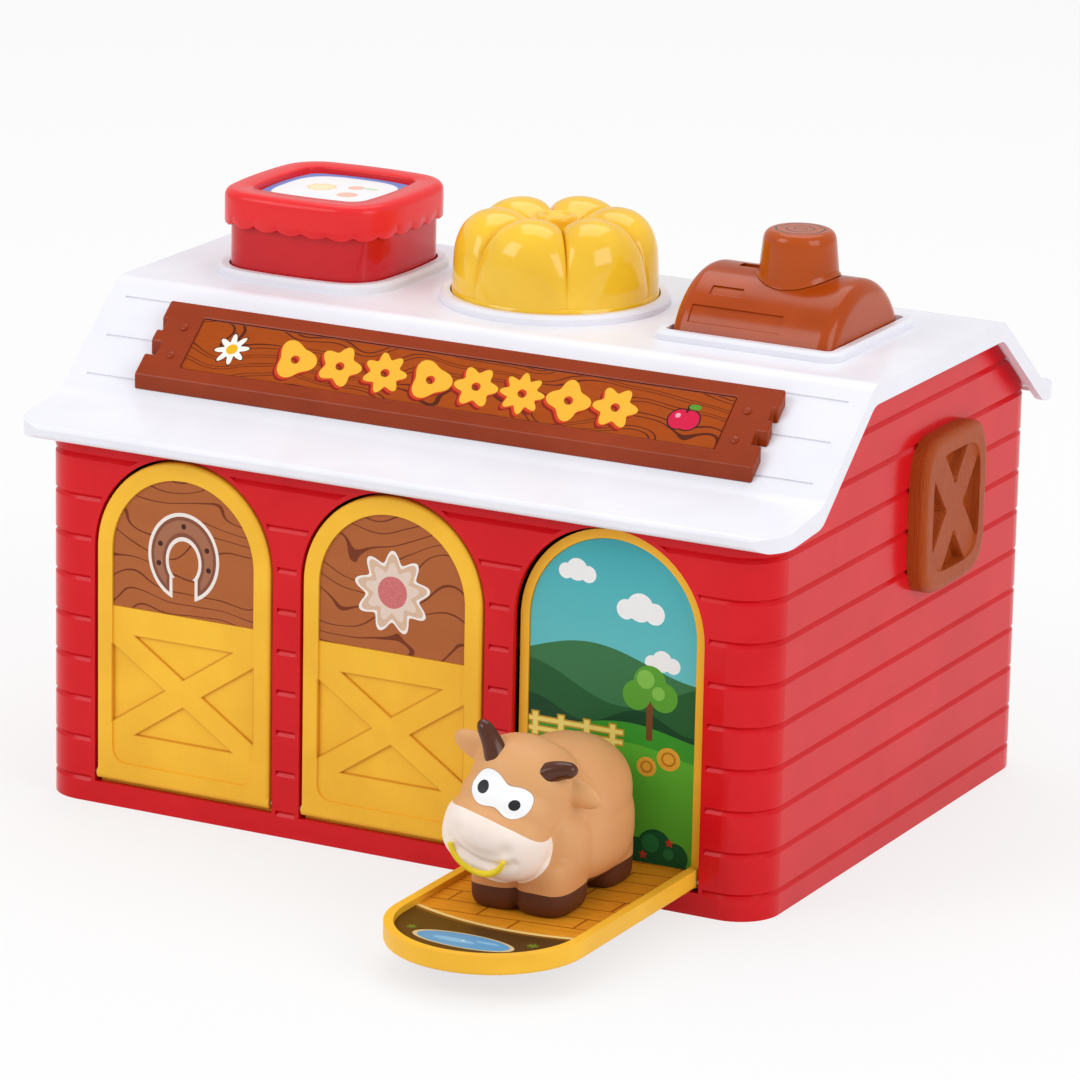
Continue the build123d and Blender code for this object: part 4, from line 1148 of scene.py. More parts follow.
@dataclass(frozen=True)
class FaceVinyl(Vinyl):
    """A figure's skin with its muzzle, eye whites and pupils painted on. An eye is its place across and up,
    its radius and its pupil's. The bridge is how far two whites run into each other."""

    head: Head = Head((0.0, 0.0, 0.0))
    muzzle: Triple = (0.5, -12.0, -13.5)
    muzzle_half: Triple = (16.6, 11.5, 12.4)
    muzzle_top: float = -4.5
    muzzle_fall: float = 0.012
    muzzle_reach: float = 1.13
    cream: str = "FFF2E8"
    blush: str = "ECD6C8"
    eyes: Places = ((-5.6, 1.9, 4.7, 2.0), (6.2, 0.9, 4.0, 1.75))
    rim: float = 0.2
    bridge: float = 15.0

    def painted(self, graph: Graph, ground: Socket) -> Socket:
        """The face over the body colour. The muzzle is an ellipsoid cut off above a line that falls to both
        sides.

        Args:
            graph: the material's nodes.
            ground: the body colour.

        Returns:
            The colour.
        """
        across, forward, up = self.head.axes(graph)
        face = Canvas(graph, across, up)
        parts = [(across - self.muzzle[0]) / self.muzzle_half[0],
                 (forward + self.muzzle[1]) / self.muzzle_half[1],
                 (up - self.muzzle[2]) / self.muzzle_half[2]]
        reach = sum((part * part for part in parts), start=0.0) ** 0.5
        snout = graph.mixed(graph.noise(graph.own_place(), 0.12, 2.0) * 0.7, self.cream, self.blush)
        front = forward > 4.0
        under_line = (up + across * across * self.muzzle_fall) < self.muzzle_top
        balls = [face.disc(x, y, radius, 0.94) for x, y, radius, _ in self.eyes]
        whites = reduce(lambda one, other: one.maths("SMOOTH_MIN", other, self.bridge), balls)
        covers = [((reach < self.muzzle_reach) * under_line * (forward > 1.0), snout),
                  ((whites < self.rim) * front, "B98A63"), ((whites < 0.0) * front, "F7F8FA")]
        for x, y, _, pupil in self.eyes:
            covers.append(((face.disc(x - 0.5, y - 0.3, pupil, 0.84) < 0.0) * front, "17171B"))
        return graph.layered(ground, covers)


# Finishes

BARN_RED = Plastic("barn_red_gloss", "D8101C", 0.19, drift=0.03, shine=0.2)
ROOF_WHITE = Plastic("roof_white_gloss", "EEEEF6", 0.26, drift=0.015, shine=0.35)
SIGN_BROWN = Plastic("sign_brown_gloss", "963409", 0.24, drift=0.07, shine=0.25)
SHUTTER_BROWN = Plastic("shutter_brown_grain", "B24C10", 0.3, grain=(2.4, 2.4, 0.1), grain_depth=0.12)
LOG_BROWN = Plastic("log_brown_gloss", "B04404", 0.17, drift=0.06, shine=0.3)
JAR_RED = Plastic("jar_red_gloss", "CC0A18", 0.12, shine=0.35)
LID_RED = Plastic("lid_red_gloss", "EC2A2E", 0.22, drift=0.03, shine=0.25)
PUMPKIN_YELLOW = Plastic("pumpkin_yellow_gloss", "FFC82E", 0.12, drift=0.07, shine=0.5)
HORN_BROWN = Plastic("horn_brown", "54260F", 0.22, drift=0.1, shine=0.4)
RING_YELLOW = Plastic("nose_ring_yellow", "F8DC30", 0.4)
WOOL_CREAM = Plastic("wool_cream", "EFE3D2", 0.62, relief=0.08)
INNER_GREY = Plastic("inner_grey_satin", "8D9195", 0.45)
STEEL = Steel("bright_steel")


def hinge_of(side: str) -> Array:
    """A door's hinge in millimetres."""
    name = f"door_{side}"
    return next(np.array(joint["pos_m"]) / MM for joint in frame["joints"] if joint["child"] == name)


def dress(piece: bpy.types.Object, finish: Finish, body: str, node: str = "") -> None:
    """Give a piece its finish, its body and its slot, and report it.

    Args:
        piece: the new piece.
        finish: the finish that covers it.
        body: the CAD body that it moves with.
        node: the CAD node that it stands for, if any.
    """
    piece.data.materials.clear()
    piece.data.materials.append(finish.material())
    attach(piece, body)
    if node:
        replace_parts(piece, node)
    log.info("%s: %d points on %s", piece.name, len(piece.data.vertices), body)


def refinish(nodes: tuple[str, ...], finish: Finish) -> None:
    """Give CAD nodes a better material.

    Args:
        nodes: the nodes' names.
        finish: the finish that covers them.
    """
    for node in nodes:
        for slot in frame["nodes"][node].material_slots:
            slot.material = finish.material()
        log.info("%s: refinished", node)


# Sub-assemblies

@dataclass
class Barn:
    """The red walls and the floor under them, and the steel parts that the doors hang on."""

    walls: tuple[str, ...] = ("barn_shell", "base_plate")
    steel: tuple[str, ...] = ("hinge_rod", "base_screws", "door_spring_left", "door_spring_middle",
                              "door_spring_right")

    def build(self) -> None:
        """Dress the walls and the steel parts."""
        refinish(self.walls, BARN_RED)
        refinish(self.steel, STEEL)


@dataclass
class Roof:
    """The white roof with its collars, and the mechanism under it."""

    shell: tuple[str, ...] = ("roof_shell",)
    inner: tuple[str, ...] = ("control_deck", "latch_left", "latch_middle", "latch_right", "pumpkin_shaft",
                              "stump_carriage")
    steel: tuple[str, ...] = ("deck_screws", "latch_rod", "pumpkin_clip")

    def build(self) -> None:
        """Dress the roof and the mechanism."""
        refinish(self.shell, ROOF_WHITE)
        refinish(self.inner, INNER_GREY)
        refinish(self.steel, STEEL)


@dataclass
class SignBoard:
    """The brown board on the front slope: notched ends, a printed recess and four nail heads."""

    edge: float = 0.6
    edge_angle: float = 25.0
    nail_radius: float = 1.3
    nail_height: float = 0.4
    nail_depth: float = 1.2
    nail_close: float = 0.96
    nail_lift: float = 0.8
    nail_inset: float = 9.5
    nail_side: float = 5.6

    def slope(self) -> tuple[Array, Array, Array]:
        """How the print lies.

        Returns:
            Its middle, the direction up the slope and the direction off it.
        """
        low, high = corners("sign_label")
        rise = (high[2] - low[2]) / (high[1] - low[1])
        up = np.array([0.0, 1.0, rise]) / sqrt(1 + rise ** 2)
        return (low + high) / 2, up, np.array([0.0, -up[2], up[1]])

    def nail(self, x: float, along: float) -> Patch:
        """A low domed head: a profile of radius and height carried round, then laid on the slope. Its dome
        runs through most of a quarter turn.

        Args:
            x: its place across the board.
            along: its place up the slope from the board's middle.

        Returns:
            The closed head.
        """
        turn = np.linspace(0, 1, 9) * pi / 2 * self.nail_close
        radius = np.concatenate([[self.nail_radius], self.nail_radius * np.cos(turn)])
        height = np.concatenate([[-self.nail_depth], self.nail_height * np.sin(turn)])
        head = revolved(np.stack([radius, height], axis=1), 32)
        middle, up, off = self.slope()
        basis = np.stack([np.array([1.0, 0.0, 0.0]), up, off])
        place = middle + up * along + off * self.nail_lift + np.array([x, 0, 0])
        return Patch(head.points @ basis + place, head.quads, head.triangles)

    def build(self) -> None:
        """Build the board, its nails and its print."""
        board = eased("sign_board", "name_board", self.edge, self.edge_angle)
        dress(board, SIGN_BROWN, "housing")
        reach = corners("sign_board")[1][0] - self.nail_inset
        nails = [self.nail(side * reach, along * self.nail_side) for side in (-1, 1) for along in (-1, 1)]
        dress(mesh_piece("board_nails", joined(nails)), SIGN_BROWN, "housing")
        middle, up, _ = self.slope()
        refinish(("sign_label",), SignPrint("print_sign", tuple(middle), up=tuple(up)))


@dataclass
class Shutters:
    """The brown shutters on the side walls: a rounded frame round crossed braces."""

    half: tuple[float, float] = (24.2, 25.9)
    foot: float = 79.6
    middle: float = 25.4
    squareness: float = 4.6
    rim_share: float = 0.735
    edge_round: float = 2.5
    floor_drop: float = 4.2
    brace_drop: float = 0.7
    brace_half: float = 5.2
    brace_run: tuple[float, float] = (13.6, 17.0)
    step_width: float = 0.5
    columns: int = 400

    def step(self, distance: Array) -> Array:
        """A soft step from 0 to 1: three times the square of the share less twice its cube."""
        t = np.clip(distance / self.step_width + 0.5, 0, 1)
        return t * t * (3 - 2 * t)

    def front(self, u: Array, v: Array, share: Array) -> Array:
        """How far the front lies under the frame's face: nothing on the frame, the floor's drop inside it
        and the braces' drop near either diagonal, with soft steps between them.

        Args:
            u: the places across.
            v: the places up.
            share: how far out each place lies, from 0 in the middle to 1 at the edge.

        Returns:
            The drops.
        """
        run, rise = self.brace_run
        length = sqrt(run ** 2 + rise ** 2)
        cross = np.minimum(np.abs(u * rise - v * run), np.abs(u * rise + v * run)) / length
        brace = self.step(self.brace_half - cross)
        inside = self.step((self.rim_share - share) * min(self.half))
        return (self.floor_drop + (self.brace_drop - self.floor_drop) * brace) * inside

    def panel(self, thickness: float) -> Patch:
        """One shutter lying flat: rows shrink a rounded square, whose points are the cosine and sine raised
        to two over its squareness; the first rows are its edge, and the rest follow the front's drops.

        Args:
            thickness: how thick the shutter is.

        Returns:
            The closed surface.
        """
        angle = turning(self.columns)
        wave = 2 / self.squareness
        across, up = bent(np.cos(angle), wave) * self.half[0], bent(np.sin(angle), wave) * self.half[1]
        bend = np.linspace(0, pi / 2, 7)
        inset = 1 - self.edge_round * (1 - np.cos(bend)) / min(self.half)
        share = np.concatenate([[1.0], inset, np.linspace(inset[-1], 0.01, 100)[1:]])[:, None]
        edge = thickness - self.edge_round * (1 - np.sin(bend))
        height = np.concatenate([[0.0], edge, np.full(99, thickness)])
        u, v = share * across, share * up
        return grid(np.stack([u, v, height[:, None] - self.front(u, v, share)], axis=-1))

    def build(self) -> None:
        """Stand both shutters against the walls and dress them."""
        for side, name in ((-1, "left"), (1, "right")):
            low, high = corners(f"window_{name}")
            flat = self.panel(float(high[0] - low[0]))
            middle = np.array([low[0] if side > 0 else high[0], self.middle, self.foot + self.half[1]])
            axes = np.array([[0.0, side, 0.0], [0.0, 0.0, 1.0], [side, 0.0, 0.0]])
            shutter = Patch(middle + flat.points @ axes, flat.quads, flat.triangles)
            dress(mesh_piece(f"shutter_{name}", shutter, sharp=70), SHUTTER_BROWN, "housing",
                  f"window_{name}")


@dataclass
class Doors:
    """The three yellow doors with their prints, inside and out. The right one stands open."""

    doors: tuple[tuple[str, Art, float], ...] = (("left", Art.RING, 1.3), ("middle", Art.BLOOM, 3.1),
                                                 ("right", Art.SHEAF, 0.0))
    open_door: str = "right"
    code: str = "FFC134"
    label_gap: float = 0.2
    brace_rise: float = 31.3
    brace_half: float = 16.6

    def door(self, side: str, art: Art, shift: float) -> None:
        """Dress one door and its prints.

        Args:
            side: the door's name.
            art: what its outside shows.
            shift: how far its country view's hills are moved.
        """
        hinge = hinge_of(side)
        is_open = side == self.open_door
        out, up = ((0.0, -1.0, 0.0), (0.0, 0.0, 1.0)) if is_open else ((0.0, 0.0, 1.0), (0.0, 1.0, 0.0))
        low, high = corners(f"door_label_{side}")
        foot = (low + high) / 2
        foot = np.array([foot[0], high[1] if is_open else foot[1], foot[2] if is_open else low[2]])
        half = (float(high[0] - low[0]) / 2 + self.label_gap, self.brace_half)
        middle = (float(hinge[0]), float(np.dot(hinge, out)) + self.brace_rise)
        grain = (2.4, 0.09, 2.4) if is_open else (2.4, 2.4, 0.09)
        yellow = BracedPlastic(f"door_yellow_{side}", self.code, 0.37, grain=grain, grain_depth=0.02,
                               streaks=0.05, shine=0.22, half=half, up=out, middle=middle)
        finishes = {"flap": yellow,
                    "door_label": BoardPrint(f"print_board_{side}", tuple(foot), up=out, art=art),
                    "floor_label": GroundPrint(f"print_ground_{side}", tuple(hinge), up=out),
                    "backdrop_label": CountryPrint(f"print_view_{side}", tuple(hinge), up=up, shift=shift)}
        for node, finish in finishes.items():
            refinish((f"{node}_{side}",), finish)

    def build(self) -> None:
        """Dress the doors and their prints."""
        for side, art, shift in self.doors:
            self.door(side, art, shift)


@dataclass
class Jar:
    """The red jar: a bowed square cup, a lid with a scalloped skirt, the lid's label and the spring under
    it."""

    corner: float = 13.0
    bow: float = 2.6
    overhang: float = 2.2
    body_height: float = 22.0
    below: float = 5.0
    wall: float = 2.0
    inset: float = 8.0
    fit: float = 0.25
    skirt: float = 10.0
    scallop: float = 1.5
    scallops: int = 24
    scallop_power: float = 0.7
    lid_top: float = 28.4
    lid_round: float = 2.8
    lip_round: float = 1.0
    arc_points: int = 48
    recess: float = 7.5
    recess_depth: float = 2.6
    label_gap: float = 0.2
    stem_radius: float = 4.0
    wire: float = 0.5
    coil_turns: float = 3.5
    coil_gap: float = 0.3

    def outline(self, grow: Array) -> Array:
        """The bowed square, grown: four wide arcs and four corner arcs that meet smoothly, each point at its
        arc's radius from its arc's centre.

        Args:
            grow: how far each row lies outside the square.

        Returns:
            Rows by columns by two.
        """
        count = self.arc_points
        low, high = corners("jar_label")
        half = (high - low)[:2] / 2 + (self.recess + self.label_gap)
        mean = half.mean()
        chord = mean - self.bow
        big = (chord ** 2 + self.bow ** 2) / (2 * self.bow)
        ratio = (big - mean) / (big - self.corner)
        meet = np.arccos(ratio / sqrt(2)) - pi / 4
        core = (big - self.corner) * sin(meet)
        side = np.linspace(-meet, meet, count, endpoint=False)
        bend = np.linspace(meet, pi / 2 - meet, count, endpoint=False)
        angles, centres, radii = [], [], []
        for quarter in range(4):
            turn = quarter * pi / 2
            along = np.array([cos(turn), sin(turn)])
            diagonal = np.array([cos(turn + pi / 4), sin(turn + pi / 4)]) * core * sqrt(2)
            angles += [side + turn, bend + turn]
            centres += [np.tile(-(big - mean) * along, (count, 1)), np.tile(diagonal, (count, 1))]
            radii += [np.full(count, big), np.full(count, self.corner)]
        angle, centre, radius = np.concatenate(angles), np.concatenate(centres), np.concatenate(radii)
        reach = radius[None] + grow[:, None]
        points = centre[None] + reach[..., None] * np.stack([np.cos(angle), np.sin(angle)], axis=-1)[None]
        return points * (half / mean)

    def swept(self, profile: list[tuple[float, float, float]]) -> Array:
        """A profile carried round the outline.

        Args:
            profile: rows of growth, height and shrink.

        Returns:
            Rows by columns by three.
        """
        rows = np.array(profile)
        flat = self.outline(rows[:, 0]) * rows[:, 2, None, None]
        height = np.broadcast_to(rows[:, 1, None, None], (*flat.shape[:2], 1))
        return np.concatenate([flat, height], axis=-1)

    def place(self) -> Place:
        """Where the jar stands.

        Returns:
            The place of its centre on the roof's flat.
        """
        low, high = corners("jar_label")
        centre = (low + high) / 2
        return Place((centre[0], centre[1], low[2] - self.lid_top + self.recess_depth))

    def cup(self) -> Patch:
        """The cup below the lid, open below: its inside from the middle down, then its outside up to the
        middle.

        Returns:
            The closed skin.
        """
        top, inner_top = self.body_height, self.body_height - self.wall
        inner = [(-self.inset, inner_top, 0.05), (-self.inset, inner_top, 1.0), (-self.wall, inner_top, 1.0),
                 (-self.wall, 4.0, 1.0), (-self.wall, -self.below, 1.0)]
        outer = [(0.0, height, 1.0) for height in (-self.below, 2.0, 8.0, 15.0, top - 0.6)]
        cover = [(-0.6, top, 1.0)] + [(-self.inset, top, shrink) for shrink in (1.0, 0.5, 0.05)]
        return grid(self.swept(inner + outer + cover))

    def lid(self) -> Patch:
        """The lid: from under its middle, down inside the skirt, round the scalloped hem, up and over the
        rounded rim, and into the recess. The hem drops by the size of a sine that has one hump for each
        scallop.

        Returns:
            The closed skin.
        """
        high = self.lid_top
        hem = high - self.skirt
        out, fit, under = self.overhang, self.fit, self.body_height + 0.1
        bend = np.linspace(0, pi / 2, 9)
        rim = [(out - self.lid_round * (1 - cos(turn)), high - self.lid_round * (1 - sin(turn)), 1.0)
               for turn in bend]
        lip, lip_round = np.linspace(pi / 2, pi, 6)[1:], self.lip_round
        step = self.recess - lip_round
        fall = [(-step + lip_round * cos(turn), high - lip_round * (1 - sin(turn)), 1.0) for turn in lip]
        skirt = [(-self.inset, under, 0.05), (-self.inset, under, 1.0), (fit, under, 1.0),
                 (fit, hem + 4.0, 1.0), (fit, hem, 1.0), (fit + 0.3, hem - 0.3, 1.0),
                 (out - 0.5, hem - 0.3, 1.0), (out, hem + 0.2, 1.0), (out, hem + 3.0, 1.0)]
        floor = [(-self.recess, high - self.recess_depth, shrink) for shrink in (1.0, 0.5, 0.05)]
        rows = self.swept(skirt + rim + fall + floor)
        edge = self.outline(np.array([out]))[0]
        steps = np.linalg.norm(np.roll(edge, -1, axis=0) - edge, axis=1)
        share = np.concatenate([[0], np.cumsum(steps)[:-1]]) / steps.sum()
        drop = self.scallop * np.abs(np.sin(pi * (share * self.scallops + 0.5))) ** self.scallop_power
        for row, weight in zip(range(4, 9), (1.0, 1.0, 1.0, 1.0, 0.25)):
            rows[row, :, 2] -= drop * weight
        return grid(rows)

    def stem(self) -> Patch:
        """The long stem under the cup.

        Returns:
            A round bar down to the latch's wedge.
        """
        radius, foot = self.stem_radius, corners("jar_body")[0][2] - self.place().shift[2]
        profile = [(radius - 0.6, foot), (radius, foot + 0.6), (radius, self.body_height - 2.4)]
        return revolved(np.array(profile))

    def coil(self, low: float, high: float, radius: float) -> Patch:
        """Half of the spring: a round wire whose centre line climbs evenly as it goes round.

        Args:
            low: where it starts.
            high: where it ends.
            radius: its centre line's radius.

        Returns:
            The closed wire.
        """
        share = np.linspace(0, 1, 240)
        angle = share * self.coil_turns * 2 * pi
        height = low + self.wire + share * (high - low - 2 * self.wire)
        path = np.stack([radius * np.cos(angle), radius * np.sin(angle), height], axis=1)
        return tube(path, np.full(240, self.wire), (0.0, 0.0, 1.0), 12)

    def spring(self) -> None:
        """The spring under the jar, as two nested halves, so that the upper goes down round the lower."""
        low, high = corners("jar_spring")
        middle = (low + high) / 2
        radius = float(high[0] - low[0]) / 2 - self.wire
        place = Place((float(middle[0]), float(middle[1]), 0.0))
        lower = self.coil(low[2], middle[2], radius)
        upper = self.coil(middle[2], high[2], radius + 2 * self.wire + self.coil_gap)
        dress(mesh_piece("jar_coil_lower", lower, place), STEEL, "housing", "jar_spring")
        dress(mesh_piece("jar_coil_upper", upper, place), STEEL, "jar")

    def build(self) -> None:
        """Build the spring, cup and lid, and dress the label."""
        self.spring()
        place = self.place()
        cup = mesh_piece("jar_cup", joined([self.cup(), self.stem()]), place, 50)
        dress(cup, JAR_RED, "jar", "jar_body")
        dress(mesh_piece("jar_cap", self.lid(), place, 50), LID_RED, "jar", "jar_lid")
        low, high = corners("jar_label")
        refinish(("jar_label",), LidPrint("print_lid", tuple((low + high) / 2), up=(0.0, 1.0, 0.0)))


@dataclass
class Pumpkin:
    """The yellow pumpkin: lobes between pressed grooves, a low base ring and a stalk ring. Profiles are
    places of radius and height."""

    lobes: int = 6
    groove_at: float = -56.0
    groove_power: float = 0.45
    foot: float = -5.0
    base_height: float = 4.3
    lobe: Places = ((33.2, -5.0), (33.4, 4.0), (33.3, 12.0), (32.6, 19.0), (30.2, 24.6), (26.0, 28.4),
                    (20.5, 30.0), (15.5, 29.6), (11.2, 27.6), (8.2, 25.4), (6.3, 24.6), (3.0, 24.5))
    groove: Places = ((32.9, -5.0), (32.5, 3.5), (31.6, 10.5), (29.4, 16.6), (26.0, 21.0), (22.0, 23.6),
                      (17.8, 24.6), (13.8, 24.6), (10.6, 24.4), (8.0, 24.3), (6.3, 24.3), (3.0, 24.3))
    ring: Places = ((6.9, 24.2), (6.6, 25.6), (6.5, 27.2), (5.9, 28.1), (4.9, 28.2), (4.2, 27.7), (3.4, 27.3),
                    (1.0, 27.2))

    def shell(self) -> Patch:
        """The lobed skin: at each angle the profile lies between a groove's and a lobe's, in the share given
        by the size of a sine that is nothing at the grooves, raised to a power below one so that the grooves
        are narrow.

        Returns:
            The closed skin.
        """
        lobe, groove = curve(self.lobe, 84), curve(self.groove, 84)
        angle = turning(360)
        share = np.abs(np.sin((angle - radians(self.groove_at)) * self.lobes / 2)) ** self.groove_power
        radius = groove[:, :1] + (lobe - groove)[:, :1] * share
        height = groove[:, 1:] + (lobe - groove)[:, 1:] * share
        return grid(carried(radius, height, angle))

    def base(self) -> Patch:
        """The ring that the lobes stand on.

        Returns:
            The closed ring.
        """
        foot, top = self.foot, self.base_height
        profile = [(33.3, foot), (33.6, foot + 0.4), (33.6, top - 0.5), (33.1, top), (30.0, top)]
        return revolved(np.array(profile), 160)

    def stalk(self) -> Patch:
        """The flat stalk ring with a dimple in it."""
        return revolved(curve(self.ring, 28), 64)

    def build(self) -> None:
        """Build and dress the pumpkin."""
        low, high = corners("pumpkin_knob")
        place = Place(((low[0] + high[0]) / 2, (low[1] + high[1]) / 2, low[2] - self.foot))
        whole = joined([self.shell(), self.base(), self.stalk()])
        dress(mesh_piece("pumpkin_shell", whole, place, 60), PUMPKIN_YELLOW, "pumpkin",
              "pumpkin_knob")


@dataclass
class LogAndStump:
    """The half log on the roof and the stump that slides along it."""

    height: float = 20.0
    base_radius: float = 13.5
    top_radius: float = 11.4
    top_swell: float = 0.2
    top_round: float = 3.0
    gap: float = 0.3
    stem_half: tuple[float, float] = (4.0, 1.8)
    stem_power: float = 0.25
    stem_drop: float = 8.0

    def saddle(self, along: Array) -> Array:
        """The height just over the log's round back.

        Args:
            along: how far each place lies from the log's middle line.

        Returns:
            The heights.
        """
        low, high = corners("log_cover")
        half, crest = (high[1] - low[1]) / 2, high[2] - low[2]
        radius = (half ** 2 + crest ** 2) / (2 * crest)
        return high[2] - radius + np.sqrt((radius + self.gap) ** 2 - along ** 2)

    def knob(self, top: float) -> Patch:
        """The tapered knob: each column starts on the saddle, rises with the taper, rounds over and closes.

        Args:
            top: the height of its top.

        Returns:
            The closed skin.
        """
        angle = turning(96)
        foot, shoulder = top - self.height, top - self.top_round
        inner = np.linspace(0.03, 1.0, 8)[:, None] * self.base_radius
        under = carried(inner, self.saddle(inner * np.sin(angle)), angle)
        rim = under[-1, :, 2]
        height = rim + (shoulder - rim) * np.linspace(0.0, 1.0, 12)[1:, None]
        radius = self.base_radius + (self.top_radius - self.base_radius) * (height - foot) / (top - foot)
        bend = np.linspace(0, pi / 2, 9)[1:, None]
        edge = self.top_radius + self.top_swell - self.top_round * (1 - np.cos(bend))
        over = carried(edge, shoulder + self.top_round * np.sin(bend), angle)
        flat = np.array([0.7, 0.35, 0.04])[:, None] * (self.top_radius - self.top_round)
        return grid(np.concatenate([under, carried(radius, height, angle), over, carried(flat, top, angle)]))

    def stem(self, low: float, high: float) -> Patch:
        """The flat bar that goes through the slot: its outline is a rounded rectangle.

        Args:
            low: the height of its foot.
            high: the height of the knob's top.

        Returns:
            The closed bar.
        """
        angle = turning(32)
        across = self.stem_half[0] * bent(np.cos(angle), self.stem_power)
        along = self.stem_half[1] * bent(np.sin(angle), self.stem_power)
        height = np.array([low, low + 0.5, high - self.stem_drop])[:, None]
        return grid(np.stack(np.broadcast_arrays(across, along, height), axis=-1))

    def build(self) -> None:
        """Build and dress the log and the stump."""
        refinish(("log_cover",), LOG_BROWN)
        low, high = corners("stump_knob")
        centre = ((low[0] + high[0]) / 2, (low[1] + high[1]) / 2)
        brown = StumpPlastic("stump_brown_gloss", "BE5008", 0.16, shine=0.35, centre=centre,
                             top=float(high[2]))
        handle = joined([self.knob(high[2]), self.stem(low[2], high[2])])
        dress(mesh_piece("stump_handle", handle, Place((*centre, 0.0)), 50), brown, "stump",
              "stump_knob")


def rounds(blocks: Blocks) -> list[Patch]:
    """Rounded blocks, each from its centre, half sizes and powers."""
    return [blob(*block) for block in blocks]


def paired(blocks: Blocks) -> list[Patch]:
    """Rounded blocks on the left and the same on the right, each given as the right one."""
    return [blob((side * centre[0], *centre[1:]), *form) for side in (-1, 1) for centre, *form in blocks]


@dataclass(frozen=True)
class Horn:
    """A horn in its head's frame: its root, its tip, the radius at either, how far it bows and how many
    ridges run along it."""

    root: Triple
    tip: Triple
    radius: float
    point: float
    bow: float
    ridges: int = 6
    ridge: float = 0.03
    rows: int = 40
    around: int = 48

    def grown(self, head: Head) -> Patch:
        """The horn as it stands. Its centre line is a parabola between root and tip. Its radius narrows
        along it, rounds off at the tip and waves round it once for each ridge.

        Args:
            head: the head that it grows from.

        Returns:
            The closed surface.
        """
        start, end = np.array(head.at(self.root)), np.array(head.at(self.tip))
        axis = end - start
        normal = np.cross(axis, FORWARD)
        normal /= np.linalg.norm(normal)
        upright = np.cross(normal, axis / np.linalg.norm(axis))
        t = np.linspace(0, 1, self.rows)
        path = start + t[:, None] * axis + (4 * self.bow * t * (1 - t))[:, None] * normal
        tip = np.sqrt(1 - np.clip((t - 0.8) / 0.21, 0, 1) ** 2)
        smooth = tube(path, (self.radius + (self.point - self.radius) * t) * tip, tuple(upright), self.around)
        rows = smooth.points[:-2].reshape(self.rows, self.around, 3)
        wave = np.cos(turning(self.around) * self.ridges)[None, :, None] * (1 - t[:, None, None])
        return grid(path[:, None] + (rows - path[:, None]) * (1 + self.ridge * wave))


@dataclass
class Figure:
    """A vinyl animal in its own frame: X across, -Y away from the hinge, Z up from the tray. Its head's
    blocks lie in the head's frame where a head leans."""

    side: str = "right"
    animal: str = "bull"
    voxel: float = 0.62
    passes: int = 9

    def place(self) -> Place:
        """Where the figure stands on its door.

        Returns:
            Its place, upright on the open door and laid back with a closed one.
        """
        hinge = hinge_of(self.side)
        level = float(corners("floor_label_right")[1][2] - hinge[2])
        shift = (hinge[0], hinge[1], hinge[2] + level)
        if self.side == "right":
            return Place(shift)
        return Place(shift, turn=-90.0, pivot=(0.0, 0.0, -level))

    def add(self, part: str, patch: Patch, finish: Finish, stands: bool = False, sharp: float = 80.0) -> None:
        """Stand a part on the door and dress it.

        Args:
            part: the part's name.
            patch: its surface in the figure's frame.
            finish: its finish.
            stands: whether it stands for the CAD figure.
            sharp: the angle in degrees above which an edge is crisp.
        """
        piece = mesh_piece(f"{self.animal}_{part}", patch, self.place(), sharp)
        node = f"{self.animal}_figure" if stands else ""
        dress(piece, finish, f"door_{self.side}", node)


